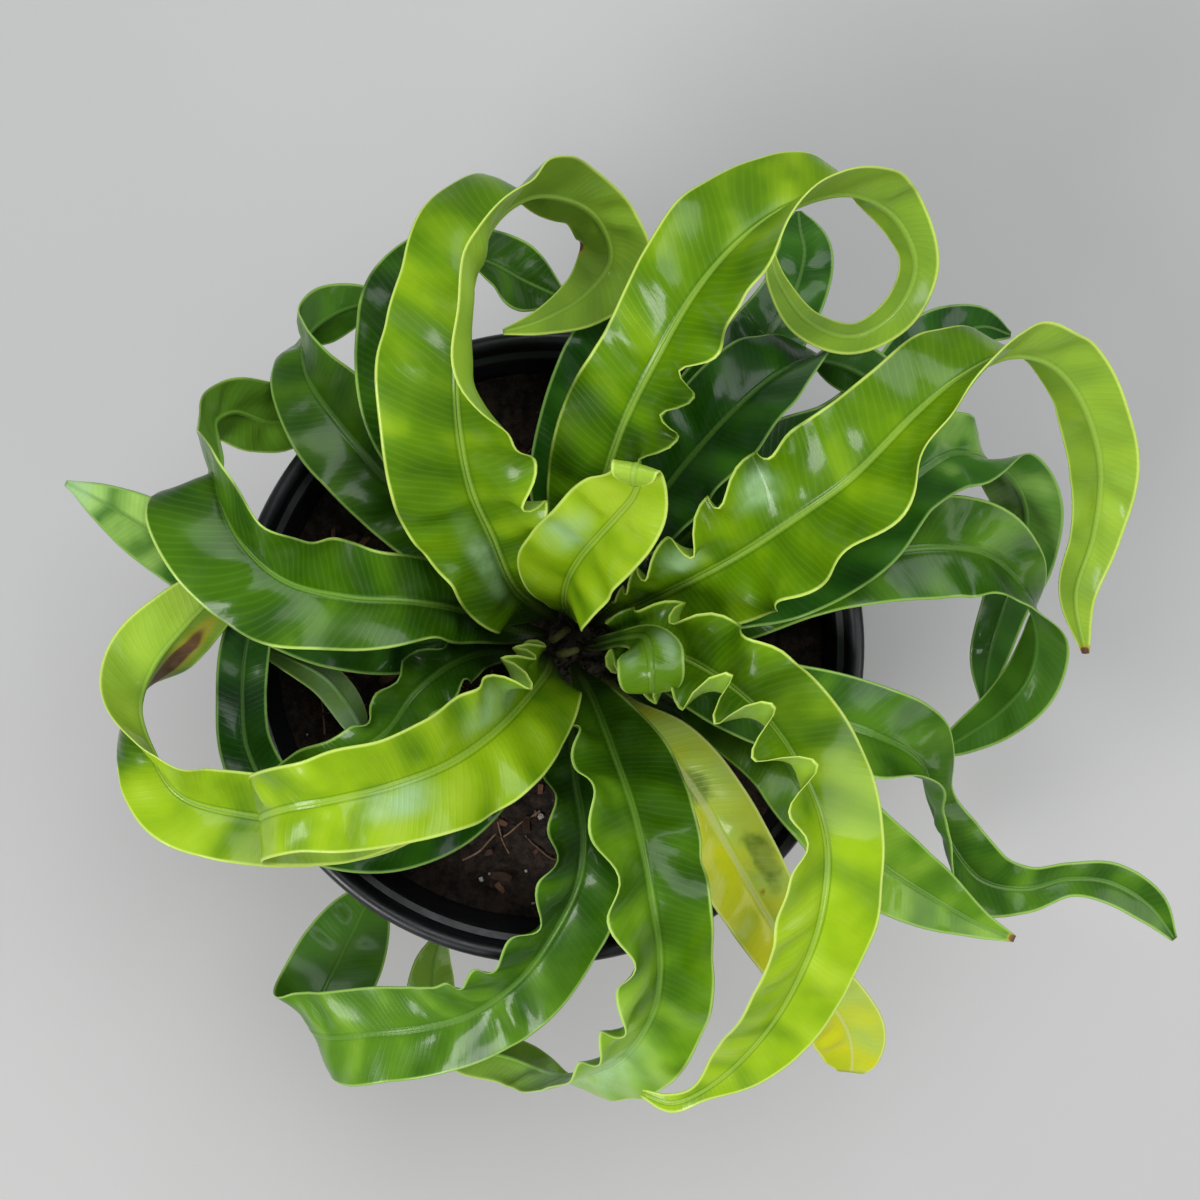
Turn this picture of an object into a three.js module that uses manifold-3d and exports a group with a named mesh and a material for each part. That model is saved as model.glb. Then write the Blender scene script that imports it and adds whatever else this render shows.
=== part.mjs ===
// A potted hurricane bird's nest fern, in millimetres, +Z up.
// The origin is the middle of the pot's flat base.
import * as THREE from "three";
import { mergeVertices } from "three/addons/utils/BufferGeometryUtils.js";
import Module from "manifold-3d";

const wasm = await Module();
wasm.setup();

// Pot
const POT_HEIGHT = 122;
const POT_RIM_RADIUS = 82.5;
const POT_BASE_RADIUS = 60;
const POT_WALL = 1.8;
const POT_FLOOR = 2.4;
const RIM_LIP_DEPTH = 7;
const RIM_LIP_THICKNESS = 3.4;
const POT_SEGMENTS = 48;
const DRAIN_SLOTS = 8;
const DRAIN_SLOT_WIDTH = 9;
const DRAIN_SLOT_HEIGHT = 7;

// Soil and crown
const CLEARANCE = 0.3;
const SOIL_TOP = 103;
const SOIL_SWELL = 1.6;
const SOIL_SEGMENTS = 32;
const SOIL_RINGS = 7;
const CROWN_X = 6;
const CROWN_Y = 2;
const CROWN_RADIUS = 19;
const CROWN_FOOT = 92;
const CROWN_SHOULDER = 105;
const CROWN_TOP = 111;
const BARK_CHIPS = 14;

// Fronds
const YOUNG_RING = 4.2;
const INNER_RING = 7.5;
const OUTER_RING = 14.5;
const ROOT_HEIGHT = 99;
const STIPE_TOP = 112;
const STIPE_HALF_WIDTH = 1.5;
const STIPE_THICKNESS = 2.6;
const STIPE_LENGTH = 26;
const HOLE_LENGTH = 19;
const MIDRIB_THICKNESS = 1.6;
const MARGIN_THICKNESS = 0.8;
const TIP_THICKNESS = 0.8;
const RUFFLE_STEP = 3.9;
const PLAIN_STEP = 6.6;
const RUFFLED_ABOVE = 1.3;

// The routes below are drawn as an eye straight above the plant sees them, at the scale of the rim.
// The eye stands a little off the pot's axis, at this height over the floor.
const EYE_X = 13.62;
const EYE_Y = 12.32;
const EYE_HEIGHT = 550;

const BRIGHT = 0x8fbc22;
const FRESH = 0x6da321;
const DEEP = 0x3f7a1c;
const DARK = 0x2c5d18;
const YELLOWED = 0xb9b92c;

const radians = (degrees) => (degrees * Math.PI) / 180;

// A point drawn at the rim's level, put at its real height along the line from the eye.
function place(u, v, height) {
  const spread = (EYE_HEIGHT - height) / (EYE_HEIGHT - POT_HEIGHT);
  return new THREE.Vector3(
    EYE_X + (u - EYE_X) * spread,
    EYE_Y + (v - EYE_Y) * spread,
    height,
  );
}

// Each frond: name, ring on the crown, compass place on it, colour, margin waves and route.
// Waves are [left height, right height, length, phase, length of the calm end], and a compass place
// turns from +X to +Y.
// A route point is [u, v, height, half width, fold, tilt, side]. The fold lifts both margins out of
// flat, the tilt lifts the right margin alone and turns the blade over past 90, and the side is the
// compass bearing of the right margin, all in degrees.
const FRONDS = [
  ["frond_north", INNER_RING, 128, BRIGHT, [0.5, 2.2, 15, 330, 120], [
    [-8.5, 15.5, 136.5, 12.5, 26, 6, 42],
    [-14.5, 29, 153.5, 15.5, 22, 8, 26],
    [-20, 42, 170, 18, 22, 12, 16],
    [-23, 59, 183, 17.5, 22, 14, 5],
    [-23, 76, 191, 18, 25, 36, 0],
    [-20.5, 91, 193, 16.5, 28, 42, -10],
    [-15, 108.5, 190, 16.5, 28, 48, -36],
    [-5, 116.5, 182, 14, 30, 72, -66],
    [6.5, 115.4, 170, 9, 16, 128, -100],
    [13.8, 109.8, 159, 8.5, 12, 145, -142],
    [16.3, 100.2, 150, 10.5, 8, 152, -188],
    [9.5, 91, 144, 8, 5, 155, -225],
    [-1, 85, 140, 4, 5, 155, -246],
    [-11.5, 81.8, 138, 0.8, 5, 155, -252],
  ]],
  ["frond_northeast", INNER_RING, 92, BRIGHT, [0.6, 2.0, 14, 0, 150], [
    [8.5, 19, 128.5, 6, 30, 0, -17],
    [14, 40, 158, 13, 25, 10, -18],
    [20, 58, 174, 14.5, 20, 18, -22],
    [28.5, 75, 185, 13, 20, 15, -30],
    [38.5, 92, 192, 14.5, 20, 22, -36],
    [50, 105, 195, 17, 22, 40, -48],
    [63, 114, 194, 16, 30, 55, -62],
    [78, 117.5, 189, 12, 32, 70, -84],
    [90, 111.5, 178, 7, 22, 125, -125],
    [95.5, 99, 168, 5.2, 15, 140, -175],
    [90.5, 87, 160, 4.8, 10, 150, -218],
    [79, 80.5, 154, 4.2, 10, 155, -262],
    [67, 84.7, 147, 4.4, 10, 155, -306],
    [59.8, 95, 142, 3, 8, 155, -338],
    [57.8, 103, 140, 0.9, 5, 155, -350],
  ]],
  ["frond_east", INNER_RING, 30, BRIGHT, [2.4, 1.4, 16, 20, 90], [
    [21, 9.8, 126.5, 5, 30, 0, -60],
    [36, 17, 148, 13, 28, -12, -60],
    [50, 24.5, 161, 16, 25, -12, -60],
    [63, 32.5, 172, 18, 20, 14, -54],
    [79, 44, 182, 16.5, 20, 18, -52],
    [95, 60, 187, 13.5, 20, 22, -50],
    [107.5, 70, 188, 14, 25, 44, -60],
    [120, 75.5, 184, 11.5, 28, 76, -76],
    [131.5, 72.5, 177, 10, 26, 108, -105],
    [139.5, 61.5, 168, 9, 18, 132, -148],
    [143.4, 46, 158, 8.6, 12, 145, -174],
    [141.6, 29, 148, 6.2, 10, 148, -190],
    [137, 13.5, 140, 4.7, 10, 148, -188],
    [139.5, -1.5, 134, 0.9, 5, 150, -176],
  ]],
  ["frond_southeast", INNER_RING, 352, BRIGHT, [1.0, 3.2, 14, 90, 110], [
    [20.5, 1, 136, 8, 26, -4, -94],
    [33, -1.5, 154, 13, 26, 2, -102],
    [46, -9, 170, 13.5, 30, 16, -122],
    [58.5, -21, 181, 14.3, 32, 28, -141],
    [67.5, -36.5, 189, 14.5, 32, 34, -160],
    [72, -52, 193, 12.8, 22, 27, -178],
    [71, -68, 192, 12.5, 18, 20, -187],
    [66.5, -82, 186, 11.5, 18, 22, -198],
    [59, -96, 177, 10.5, 18, 22, -208],
    [49.5, -107.5, 167, 7, 15, 10, -220],
    [40, -115, 159, 2.4, 12, 10, -240],
    [32, -118, 154, 2.2, 10, 0, -270],
    [24.5, -115.5, 151, 0.9, 5, 0, -292],
  ]],
  ["frond_south", INNER_RING, 278, FRESH, [1.0, 2.4, 15, 200, 110], [
    [12, -14, 128, 6, 28, 0, -165],
    [17.5, -29, 145, 12.8, 24, 20, -162],
    [22, -42, 158, 14, 20, 24, -166],
    [25, -55, 165, 14, 20, 26, -173],
    [27.5, -69, 166, 13.5, 20, 24, -179],
    [29, -83, 161, 13, 20, 30, -187],
    [26.5, -96, 150, 13.5, 22, 28, -206],
    [17.5, -107.5, 134, 12.5, 26, 36, -234],
    [4, -111, 114, 10, 24, 74, -262],
    [-9, -106.5, 98, 7.5, 14, 132, -285],
    [-21, -103, 89, 7.5, 10, 152, -300],
    [-29, -94, 83, 7.5, 8, 155, -340],
    [-29.5, -83, 78, 6, 6, 155, -368],
    [-27, -73, 75, 0.9, 5, 155, -375],
  ]],
  ["frond_southwest", INNER_RING, 222, BRIGHT, [0.8, 2.0, 16, 150, 90], [
    [-1.5, -8, 132, 10.5, 30, 0, 134],
    [-12, -20, 154, 15.5, 28, 12, 126],
    [-25, -29.5, 169, 15.5, 22, 14, 112],
    [-40, -35.5, 179, 13.5, 20, 12, 103],
    [-54, -39, 184, 12, 16, 12, 98],
    [-67, -41.5, 182, 10, 12, 10, 99],
    [-74, -44, 173, 9.5, 8, 0, 98],
    [-72, -45.5, 163, 9.5, 4, 0, 96],
    [-62, -46, 157, 9.5, 0, 0, 94],
    [-50, -46, 154, 8.5, 0, 0, 92],
    [-38, -45, 152, 5, 0, 0, 88],
    [-30, -43, 151, 0.9, 0, 0, 86],
  ]],
  ["frond_west", INNER_RING, 172, FRESH, [0.8, 1.4, 18, 0, 120], [
    [-10.5, 5, 121, 4.2, 24, 0, 82],
    [-22, 9.5, 134, 9, 25, -8, 82],
    [-36, 11.8, 146, 11.5, 22, -12, 84],
    [-52, 13, 153, 13.5, 22, -5, 78],
    [-68, 17.5, 158, 16, 24, 18, 66],
    [-79.5, 28, 159, 17.5, 32, 26, 42],
    [-85, 41, 156, 18, 40, 40, 8],
    [-84.5, 48, 151, 11, 30, 84, -2],
    [-85.5, 53.5, 143, 8.5, 22, 98, -8],
    [-86, 58.5, 134, 8, 16, 118, -34],
    [-81, 61, 125, 9, 12, 140, -78],
    [-73, 58.8, 117, 10.5, 8, 150, -100],
    [-65.5, 59.5, 111.5, 8.5, 6, 152, -84],
    [-59, 64.5, 108, 0.9, 5, 152, -58],
  ]],
  ["frond_young_rolled", YOUNG_RING, 62, BRIGHT, [0.6, 0.8, 14, 0, 60], [
    [5, 11, 136, 5, 30, 0, -30],
    [5.5, 17, 150, 13, 28, 18, -31],
    [8.5, 23, 163, 13, 24, 12, -35],
    [13.5, 29, 175, 12, 20, 8, -40],
    [18.5, 34.5, 184, 11.4, 16, 6, -42],
    [22.3, 39.2, 190, 9.4, 12, 2, -36],
    [23.8, 43.6, 195.5, 6.6, 8, 0, -24],
    [23.4, 47.3, 201, 5.2, 5, 0, -15],
    [22.6, 46.8, 204.5, 4.8, 4, 0, -12],
    [22.2, 43.6, 203, 4.2, 3, 0, -12],
    [22.4, 42, 199.5, 0.9, 2, 0, -12],
  ]],
  ["frond_young_curled", YOUNG_RING, 335, FRESH, [0.4, 0.4, 14, 0, 20], [
    [13.5, 1, 139, 1.8, 10, 0, -90],
    [19.5, 2.4, 157, 2, 4, 0, -102],
    [24.6, 2.8, 169, 4.2, -4, 0, -140],
    [26.3, 0, 175.5, 7.2, -8, 0, -166],
    [26.8, -4.2, 178.5, 7.5, -10, 0, -174],
    [27, -8.4, 178, 7.4, -8, 0, -176],
    [27, -11, 175, 6.6, -6, 0, -176],
    [27, -11.6, 171.5, 4.6, -2, 0, -176],
    [27, -11.2, 169.5, 0.9, 0, 0, -176],
  ]],
  ["frond_low_northwest", OUTER_RING, 143, DEEP, [1.0, 1.6, 19, 60, 60], [
    [-17, 19, 120, 3.4, 18, 0, 47],
    [-29, 30, 127, 10, 15, 0, 45],
    [-42, 44, 131, 12.5, 15, 0, 40],
    [-54, 58, 131, 13, 15, 5, 30],
    [-62, 70, 127, 10, 20, 22, 15],
    [-62.5, 80, 119, 8.5, 30, 80, -22],
    [-56, 86, 111, 8, 15, 145, -60],
    [-47.5, 89, 105, 5, 8, 150, -78],
    [-41, 89, 102, 0.9, 5, 150, -85],
  ]],
  ["frond_low_north", OUTER_RING, 122, DEEP, [1.2, 1.2, 20, 0, 60], [
    [-12, 25, 122, 3.4, 18, 0, 28],
    [-23, 41, 137, 10, 18, 0, 22],
    [-34, 59, 147, 12, 18, 0, 10],
    [-38, 76, 149, 11.5, 18, -8, -4],
    [-35.5, 91, 146, 11, 20, 8, -20],
    [-27.5, 100.5, 140, 9, 22, 30, -52],
    [-16, 100, 133, 8.5, 18, 20, -92],
    [-6, 95, 127, 8.5, 10, 10, -112],
    [5, 90, 122, 1, 5, 5, -115],
  ]],
  ["frond_low_north_narrow", OUTER_RING, 100, DARK, [1.0, 1.0, 24, 80, 30], [
    [3, 24, 119, 3.4, 15, 0, -3],
    [4, 42, 130, 8.5, 15, 0, -8],
    [8, 60, 136, 9.5, 15, 0, -16],
    [14.5, 76, 138, 9.5, 15, 0, -26],
    [21, 88, 136, 6, 12, 0, -32],
    [26, 96, 133, 0.9, 8, 0, -34],
  ]],
  ["frond_low_northeast", OUTER_RING, 62, DARK, [1.0, 1.6, 18, 30, 60], [
    [16, 23, 121, 3.4, 20, 0, -35],
    [26, 35, 133, 10, 18, 5, -38],
    [37, 49, 141, 12, 18, 12, -42],
    [49, 62, 145, 13, 18, 18, -46],
    [60, 71, 143, 12.5, 22, 38, -60],
    [69.5, 74.5, 137, 9.5, 30, 82, -86],
    [79, 72, 131, 7.5, 15, 145, -114],
    [88, 66, 128, 6, 10, 150, -130],
    [93, 58.5, 127, 0.9, 8, 150, -150],
  ]],
  ["frond_under_northeast", OUTER_RING, 80, DARK, [0.8, 0.8, 26, 0, 30], [
    [13, 25, 114, 3.2, 12, 0, -25],
    [25, 43, 121, 8.5, 12, 0, -31],
    [40, 61, 126, 10, 12, 0, -34],
    [54, 77, 127, 10, 12, 0, -28],
    [63, 90, 124, 8.5, 10, 0, -17],
    [66.5, 101, 119, 7.5, 8, 0, -6],
    [65.5, 108.5, 116, 5, 6, 0, 4],
    [65, 113, 114, 1, 4, 0, 6],
  ]],
  ["frond_under_east", OUTER_RING, 44, DARK, [0.8, 1.0, 26, 40, 30], [
    [26, 19, 115, 3.2, 15, 0, -45],
    [42, 34, 121, 8.5, 15, 0, -48],
    [58, 48, 124, 9.5, 15, 0, -50],
    [75, 56, 123, 8, 15, 0, -56],
    [89, 66, 119, 9, 12, 0, -48],
    [101, 78, 114, 9.5, 12, 10, -48],
    [112, 83, 110, 6, 8, 10, -75],
    [120, 81, 107, 0.9, 5, 10, -95],
  ]],
  ["frond_low_east", OUTER_RING, 26, DARK, [1.0, 1.4, 20, 0, 100], [
    [27, 8, 117, 3.2, 15, 0, -78],
    [45, 14, 126, 9.5, 15, 0, -75],
    [64, 19, 131, 11, 15, 0, -70],
    [80, 28, 133, 11, 15, 8, -55],
    [92, 41, 132, 10.5, 15, 20, -50],
    [103, 49.5, 129, 10.5, 18, 10, -78],
    [110, 49.8, 126, 10.2, 18, 28, -94],
    [115.5, 47.5, 122, 9.5, 18, 92, -114],
    [120.5, 43.5, 118, 9.5, 14, 136, -138],
    [124, 35, 112, 9.5, 10, 145, -166],
    [123, 22, 105, 8, 8, 150, -184],
    [118.5, 11, 99, 6.4, 10, 158, -190],
    [114.3, -3, 93, 5, 8, 165, -184],
    [113, -14.5, 88, 0.9, 5, 165, -184],
  ]],
  ["frond_low_east_broad", OUTER_RING, 8, DEEP, [0.8, 0.8, 26, 0, 90], [
    [28, 3, 114, 3.2, 12, 0, -84],
    [46, 9, 118, 8.5, 12, 0, -80],
    [66, 18, 123, 10.5, 12, 0, -77],
    [85, 24, 126, 12.5, 12, 0, -82],
    [102, 26, 125.5, 13.5, 15, 0, -90],
    [114.5, 23.5, 122, 12.5, 20, 16, -112],
    [123.5, 14, 118, 10, 26, 48, -136],
    [127, 2.5, 113, 9, 20, 110, -168],
    [124.5, -8.5, 108, 8.4, 12, 140, -205],
    [117, -17, 104, 7, 10, 150, -230],
    [107.5, -23.5, 101, 4.4, 8, 155, -238],
    [100, -28, 99, 0.9, 5, 155, -240],
  ]],
  ["frond_low_southeast_tail", OUTER_RING, 350, DEEP, [1.2, 2.0, 16, 0, 40], [
    [28, -6, 117, 3.2, 15, 0, -102],
    [46, -11, 126, 9.5, 15, 0, -104],
    [66, -17, 131, 12, 15, 8, -104],
    [84, -22.5, 132, 12.5, 18, 22, -108],
    [96, -29.5, 128, 12.8, 24, 34, -128],
    [99.5, -40, 121, 7, 28, 44, -162],
    [104, -50.5, 114, 9, 26, 26, -150],
    [112, -60, 109, 9.5, 22, 4, -124],
    [123.5, -62.5, 106, 6.4, 16, 0, -97],
    [135, -60, 104, 4.6, 14, 0, -88],
    [146, -61, 102, 5.6, 12, 0, -108],
    [156, -67, 99, 4.8, 10, 0, -132],
    [162.5, -75.5, 96, 0.9, 8, 0, -146],
  ]],
  ["frond_under_southeast", OUTER_RING, 332, DEEP, [1.0, 1.0, 26, 90, 30], [
    [25, -11, 113, 3.2, 12, 0, -115],
    [43, -16, 118, 8.5, 12, 0, -118],
    [59, -26, 124, 10.5, 12, 0, -134],
    [70, -40, 128, 10.5, 12, 0, -140],
    [85, -55, 125, 11, 12, 0, -132],
    [99, -64.5, 120, 8.5, 10, 0, -124],
    [111.5, -71.5, 115, 3.8, 8, 0, -122],
    [121, -75.5, 112, 0.9, 5, 0, -118],
  ]],
  ["frond_old_yellow", OUTER_RING, 310, YELLOWED, [1.0, 1.4, 20, 0, 60], [
    [21, -16, 117, 3.2, 15, 0, -130],
    [31, -27, 126, 9, 15, 0, -138],
    [40, -40, 131, 11, 12, 0, -146],
    [48, -54, 132, 11, 12, 0, -150],
    [56, -68, 129, 10, 12, 0, -148],
    [64, -81, 123, 8.5, 12, 0, -148],
    [73, -91.5, 114, 9.5, 10, 0, -154],
    [78, -100, 107, 9.8, 6, 0, -168],
    [79, -107, 103, 7.2, 4, 0, -180],
    [78.5, -110, 101, 3.5, 2, 0, -184],
  ]],
  ["frond_low_south", OUTER_RING, 268, DEEP, [0.8, 2.0, 16, 180, 120], [
    [6, -20, 118, 3.4, 20, 0, -180],
    [7, -34, 128, 9, 20, 12, -183],
    [9, -47, 135, 10.5, 20, 20, -186],
    [8, -60, 137, 12, 22, 24, -196],
    [2, -73, 133, 12.5, 22, 28, -214],
    [-7, -85.5, 126, 13, 20, 26, -228],
    [-19, -94.5, 118, 12.5, 16, 14, -246],
    [-32, -98.5, 111, 12.5, 12, 4, -262],
    [-45, -100, 105, 13, 8, 0, -260],
    [-56, -101, 98, 13.4, 4, 0, -250],
    [-61.5, -98.5, 88.5, 13.4, 0, 0, -236],
    [-58.5, -90, 80.5, 13, 0, 0, -220],
    [-52.5, -78, 77, 12, 0, 0, -212],
    [-47.5, -68, 75, 8, 0, 0, -210],
    [-44, -61, 74, 0.9, 0, 0, -210],
  ]],
  ["frond_under_southwest", OUTER_RING, 249, DARK, [0.8, 0.8, 26, 0, 60], [
    [-5, -24, 113, 3.2, 12, 0, 148],
    [-20, -40, 117, 8, 12, 0, 132],
    [-38, -48.5, 121, 9, 12, 0, 106],
    [-57, -47.5, 125, 9, 12, 0, 74],
    [-70, -39.5, 125.6, 8, 12, 0, 48],
    [-77.5, -27, 127, 7, 14, 0, 20],
    [-79, -13, 127, 6.5, 14, 0, 0],
    [-78, 0, 127, 6.5, 14, 0, -8],
    [-75, 11, 127, 5, 10, 0, -20],
    [-70, 20, 127, 0.9, 6, 0, -30],
  ]],
  ["frond_southwest_loop", OUTER_RING, 230, BRIGHT, [1.0, 1.4, 20, 0, 60], [
    [-10, -19, 119, 3.4, 18, 0, 140],
    [-25, -33, 130, 8, 15, 0, 125],
    [-43, -42, 137, 10.5, 14, 0, 104],
    [-62, -44.5, 141, 11.5, 14, 0, 94],
    [-80, -43, 143, 12, 18, 6, 86],
    [-94.5, -38.5, 144, 12, 24, 20, 66],
    [-102, -28, 143, 12, 30, 45, 38],
    [-105.5, -15.5, 142, 11.5, 30, 90, 10],
    [-101.5, -4, 142, 12, 22, 138, -16],
    [-93.5, 6, 143, 10, 18, 150, -40],
    [-86, 13.5, 144, 7, 12, 155, -48],
    [-79, 20, 144, 0.9, 5, 160, -52],
  ]],
  ["frond_under_west_narrow", OUTER_RING, 213, FRESH, [0.4, 0.4, 26, 0, 40], [
    [-13, -14, 111, 3.0, 10, 0, 122],
    [-27, -25, 112, 4, 10, 0, 116],
    [-38, -32.5, 113, 4.2, 10, 20, 100],
    [-46, -29, 114, 4.4, 8, 60, 45],
    [-49.5, -19, 115, 5, 6, 125, 18],
    [-57, -8.5, 117, 5, 5, 140, 42],
    [-67, -3, 120, 4.2, 5, 130, 70],
    [-76, 0, 121, 0.9, 5, 130, 78],
  ]],
  ["frond_wavy_west", OUTER_RING, 196, DEEP, [1.8, 2.2, 14, 0, 30], [
    [-17, -1.5, 120, 4.2, 22, 0, 108],
    [-26, -5, 130, 7.5, 24, 0, 118],
    [-34.5, -12, 136, 8.5, 22, 0, 130],
    [-42, -22, 136.5, 7.2, 20, 0, 128],
    [-53, -29, 134, 6, 16, 0, 112],
    [-63, -31, 131.5, 4.6, 12, 0, 98],
    [-70, -31.5, 130, 0.9, 8, 0, 92],
  ]],
  ["frond_under_west", OUTER_RING, 166, DARK, [0.8, 0.8, 26, 0, 30], [
    [-18, 4, 113, 3.2, 12, 0, 86],
    [-36, 2, 120, 8.5, 12, 0, 88],
    [-56, 4, 128, 9, 12, 0, 78],
    [-76, 13, 134, 9, 12, 0, 62],
    [-92, 23, 133, 8.5, 12, 0, 56],
    [-105, 31.5, 128, 7.6, 8, 0, 54],
    [-115, 37.5, 123, 4.8, 5, 0, 58],
    [-122, 41.3, 119.5, 1.8, 2, 0, 62],
    [-124.8, 42.6, 118, 0.8, 0, 0, 62],
  ]],
];

// The value at t between b and c of the smooth curve through the evenly spaced values a, b, c and d.
function smooth(a, b, c, d, t) {
  const half = 0.5 * t;
  return (
    b +
    half * (c - a) +
    half * t * (2 * a - 5 * b + 4 * c - d) +
    half * t * t * (3 * b - 3 * c + d - a)
  );
}

// The full list of a frond's guide points, from its root in the crown to its tip.
// Each is [x, y, height, half width, fold, tilt, side].
function guidePoints(ring, bearing, route) {
  const out = new THREE.Vector2(Math.cos(radians(bearing)), Math.sin(radians(bearing)));
  const side = nearestTurn(bearing - 90, route[0][6]);
  const stipe = [
    [ring - 0.4, ROOT_HEIGHT],
    [ring + 0.6, STIPE_TOP],
  ].map(([reach, height]) => [
    CROWN_X + out.x * reach,
    CROWN_Y + out.y * reach,
    height,
    STIPE_HALF_WIDTH,
    0,
    0,
    side,
  ]);
  const blade = route.map(([u, v, height, ...shape]) => [...place(u, v, height), ...shape]);
  return [...stipe, ...blade];
}

// The bearing that is the same direction as `bearing` and less than half a turn from `near`.
function nearestTurn(bearing, near) {
  return bearing + 360 * Math.round((near - bearing) / 360);
}

// Values of the guide points at one place along the frond, where 2.5 is half way from the third to the fourth.
function valuesAt(points, along) {
  const last = points.length - 1;
  const k = Math.min(Math.floor(along), last - 1);
  const before = k > 0 ? points[k - 1] : points[0].map((value, i) => 2 * value - points[1][i]);
  const after =
    k + 2 <= last ? points[k + 2] : points[last].map((value, i) => 2 * value - points[last - 1][i]);
  return points[k].map((value, i) =>
    smooth(before[i], value, points[k + 1][i], after[i], along - k),
  );
}

// Evenly spaced stations along a frond: each has its place, its run from the root and its shape.
function stationsAlong(points, step) {
  const fine = 16;
  const samples = [];
  let run = 0;
  for (let i = 0; i <= (points.length - 1) * fine; i += 1) {
    const values = valuesAt(points, i / fine);
    const at = new THREE.Vector3(values[0], values[1], values[2]);
    if (i > 0) run += at.distanceTo(samples[i - 1].at);
    samples.push({ along: i / fine, at, run });
  }
  const count = Math.round(run / step);
  const stations = [];
  let k = 0;
  for (let i = 0; i <= count; i += 1) {
    const goal = (run * i) / count;
    while (k < samples.length - 2 && samples[k + 1].run < goal) k += 1;
    const share = (goal - samples[k].run) / (samples[k + 1].run - samples[k].run);
    const values = valuesAt(points, samples[k].along + share / fine);
    const [x, y, z, halfWidth, fold, tilt, side] = values;
    stations.push({ at: new THREE.Vector3(x, y, z), run: goal, left: run - goal, halfWidth, fold, tilt, side });
  }
  return stations;
}

// The directions across a blade at one station: to its right margin, and out of its upper face.
function acrossBlade(station, ahead) {
  const right = new THREE.Vector3(
    Math.cos(radians(station.side)),
    Math.sin(radians(station.side)),
    0,
  );
  right.addScaledVector(ahead, -right.dot(ahead)).normalize();
  const up = new THREE.Vector3().crossVectors(right, ahead);
  const turn = radians(station.tilt);
  return {
    right: right.clone().multiplyScalar(Math.cos(turn)).addScaledVector(up, Math.sin(turn)),
    up: up.clone().multiplyScalar(Math.cos(turn)).addScaledVector(right, -Math.sin(turn)),
  };
}

// How much of a thickness or wave is there, from 0 at the root to 1 past the stipe.
function pastStipe(run) {
  return THREE.MathUtils.smoothstep(run, STIPE_LENGTH * 0.5, STIPE_LENGTH * 1.6);
}

// A frond: a folded, waved blade on a stipe, as one closed body.
// `grown` swells the outline on every side, for the hole that the stipe stands in.
function frondGeometry(points, waves, grown, longest) {
  const [leftWave, rightWave, waveLength, phase, calmEnd] = waves;
  const ruffled = Math.max(leftWave, rightWave) > RUFFLED_ABOVE;
  let stations = stationsAlong(points, ruffled ? RUFFLE_STEP : PLAIN_STEP);
  if (longest) stations = stations.filter((station) => station.run < longest);
  const positions = [];
  stations.forEach((station, i) => {
    const before = stations[Math.max(i - 1, 0)].at;
    const after = stations[Math.min(i + 1, stations.length - 1)].at;
    const ahead = after.clone().sub(before).normalize();
    const { right, up } = acrossBlade(station, ahead);
    const blade = pastStipe(station.run);
    const nearTip = THREE.MathUtils.smoothstep(station.left, 0, 18);
    const calm = THREE.MathUtils.smoothstep(station.left, calmEnd * 0.5, calmEnd * 1.3);
    const swing = (2 * Math.PI * station.run) / waveLength + radians(phase);
    const middle = THREE.MathUtils.lerp(
      STIPE_THICKNESS,
      THREE.MathUtils.lerp(TIP_THICKNESS, MIDRIB_THICKNESS, nearTip),
      blade,
    );
    const edge = THREE.MathUtils.lerp(STIPE_THICKNESS * 0.6, MARGIN_THICKNESS, blade);
    const fold = radians(station.fold) * blade;
    const halves = [-1, 1].map((hand) => {
      const wave = (hand < 0 ? leftWave : rightWave) * blade * calm;
      const outward = right.clone().multiplyScalar(hand * Math.cos(fold));
      outward.addScaledVector(up, Math.sin(fold));
      const normal = up.clone().multiplyScalar(Math.cos(fold));
      normal.addScaledVector(right, -hand * Math.sin(fold));
      const reach = station.halfWidth + 0.5 * wave * Math.cos(swing) + grown;
      const margin = station.at.clone().addScaledVector(outward, reach);
      margin.addScaledVector(normal, wave * Math.sin(swing + (hand < 0 ? 2 : 0)));
      return { margin, normal };
    });
    const rows = [
      [halves[0].margin, halves[0].normal, edge],
      [station.at, up, middle],
      [halves[1].margin, halves[1].normal, edge],
    ];
    const lengthwise = i === 0 ? -grown : 0;
    for (const face of [1, -1]) {
      for (const [middlePoint, normal, thickness] of rows) {
        const corner = middlePoint.clone().addScaledVector(normal, face * (thickness / 2 + grown));
        positions.push(...corner.addScaledVector(ahead, lengthwise));
      }
    }
  });
  return loftedBody(positions, stations.length, [0, 1, 2, 5, 4, 3]);
}

// A closed body through rings of corners: `loop` gives the corners of a ring in order round it.
function loftedBody(positions, rings, loop) {
  const corners = loop.length;
  const index = [];
  for (let i = 0; i < rings - 1; i += 1) {
    const here = i * corners;
    const there = here + corners;
    for (let k = 0; k < corners; k += 1) {
      const a = loop[k];
      const b = loop[(k + 1) % corners];
      const alike = k < 2 || k === 2;
      if (alike) index.push(here + a, here + b, there + b, here + a, there + b, there + a);
      else index.push(here + a, here + b, there + a, here + b, there + b, there + a);
    }
  }
  const end = (rings - 1) * corners;
  for (let k = 0; k < 2; k += 1) {
    index.push(k, k + 4, k + 1, k, k + 3, k + 4);
    index.push(end + k, end + k + 1, end + k + 4, end + k, end + k + 4, end + k + 3);
  }
  const geometry = new THREE.BufferGeometry();
  geometry.setAttribute("position", new THREE.Float32BufferAttribute(positions, 3));
  geometry.setIndex(index);
  return geometry;
}

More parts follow.
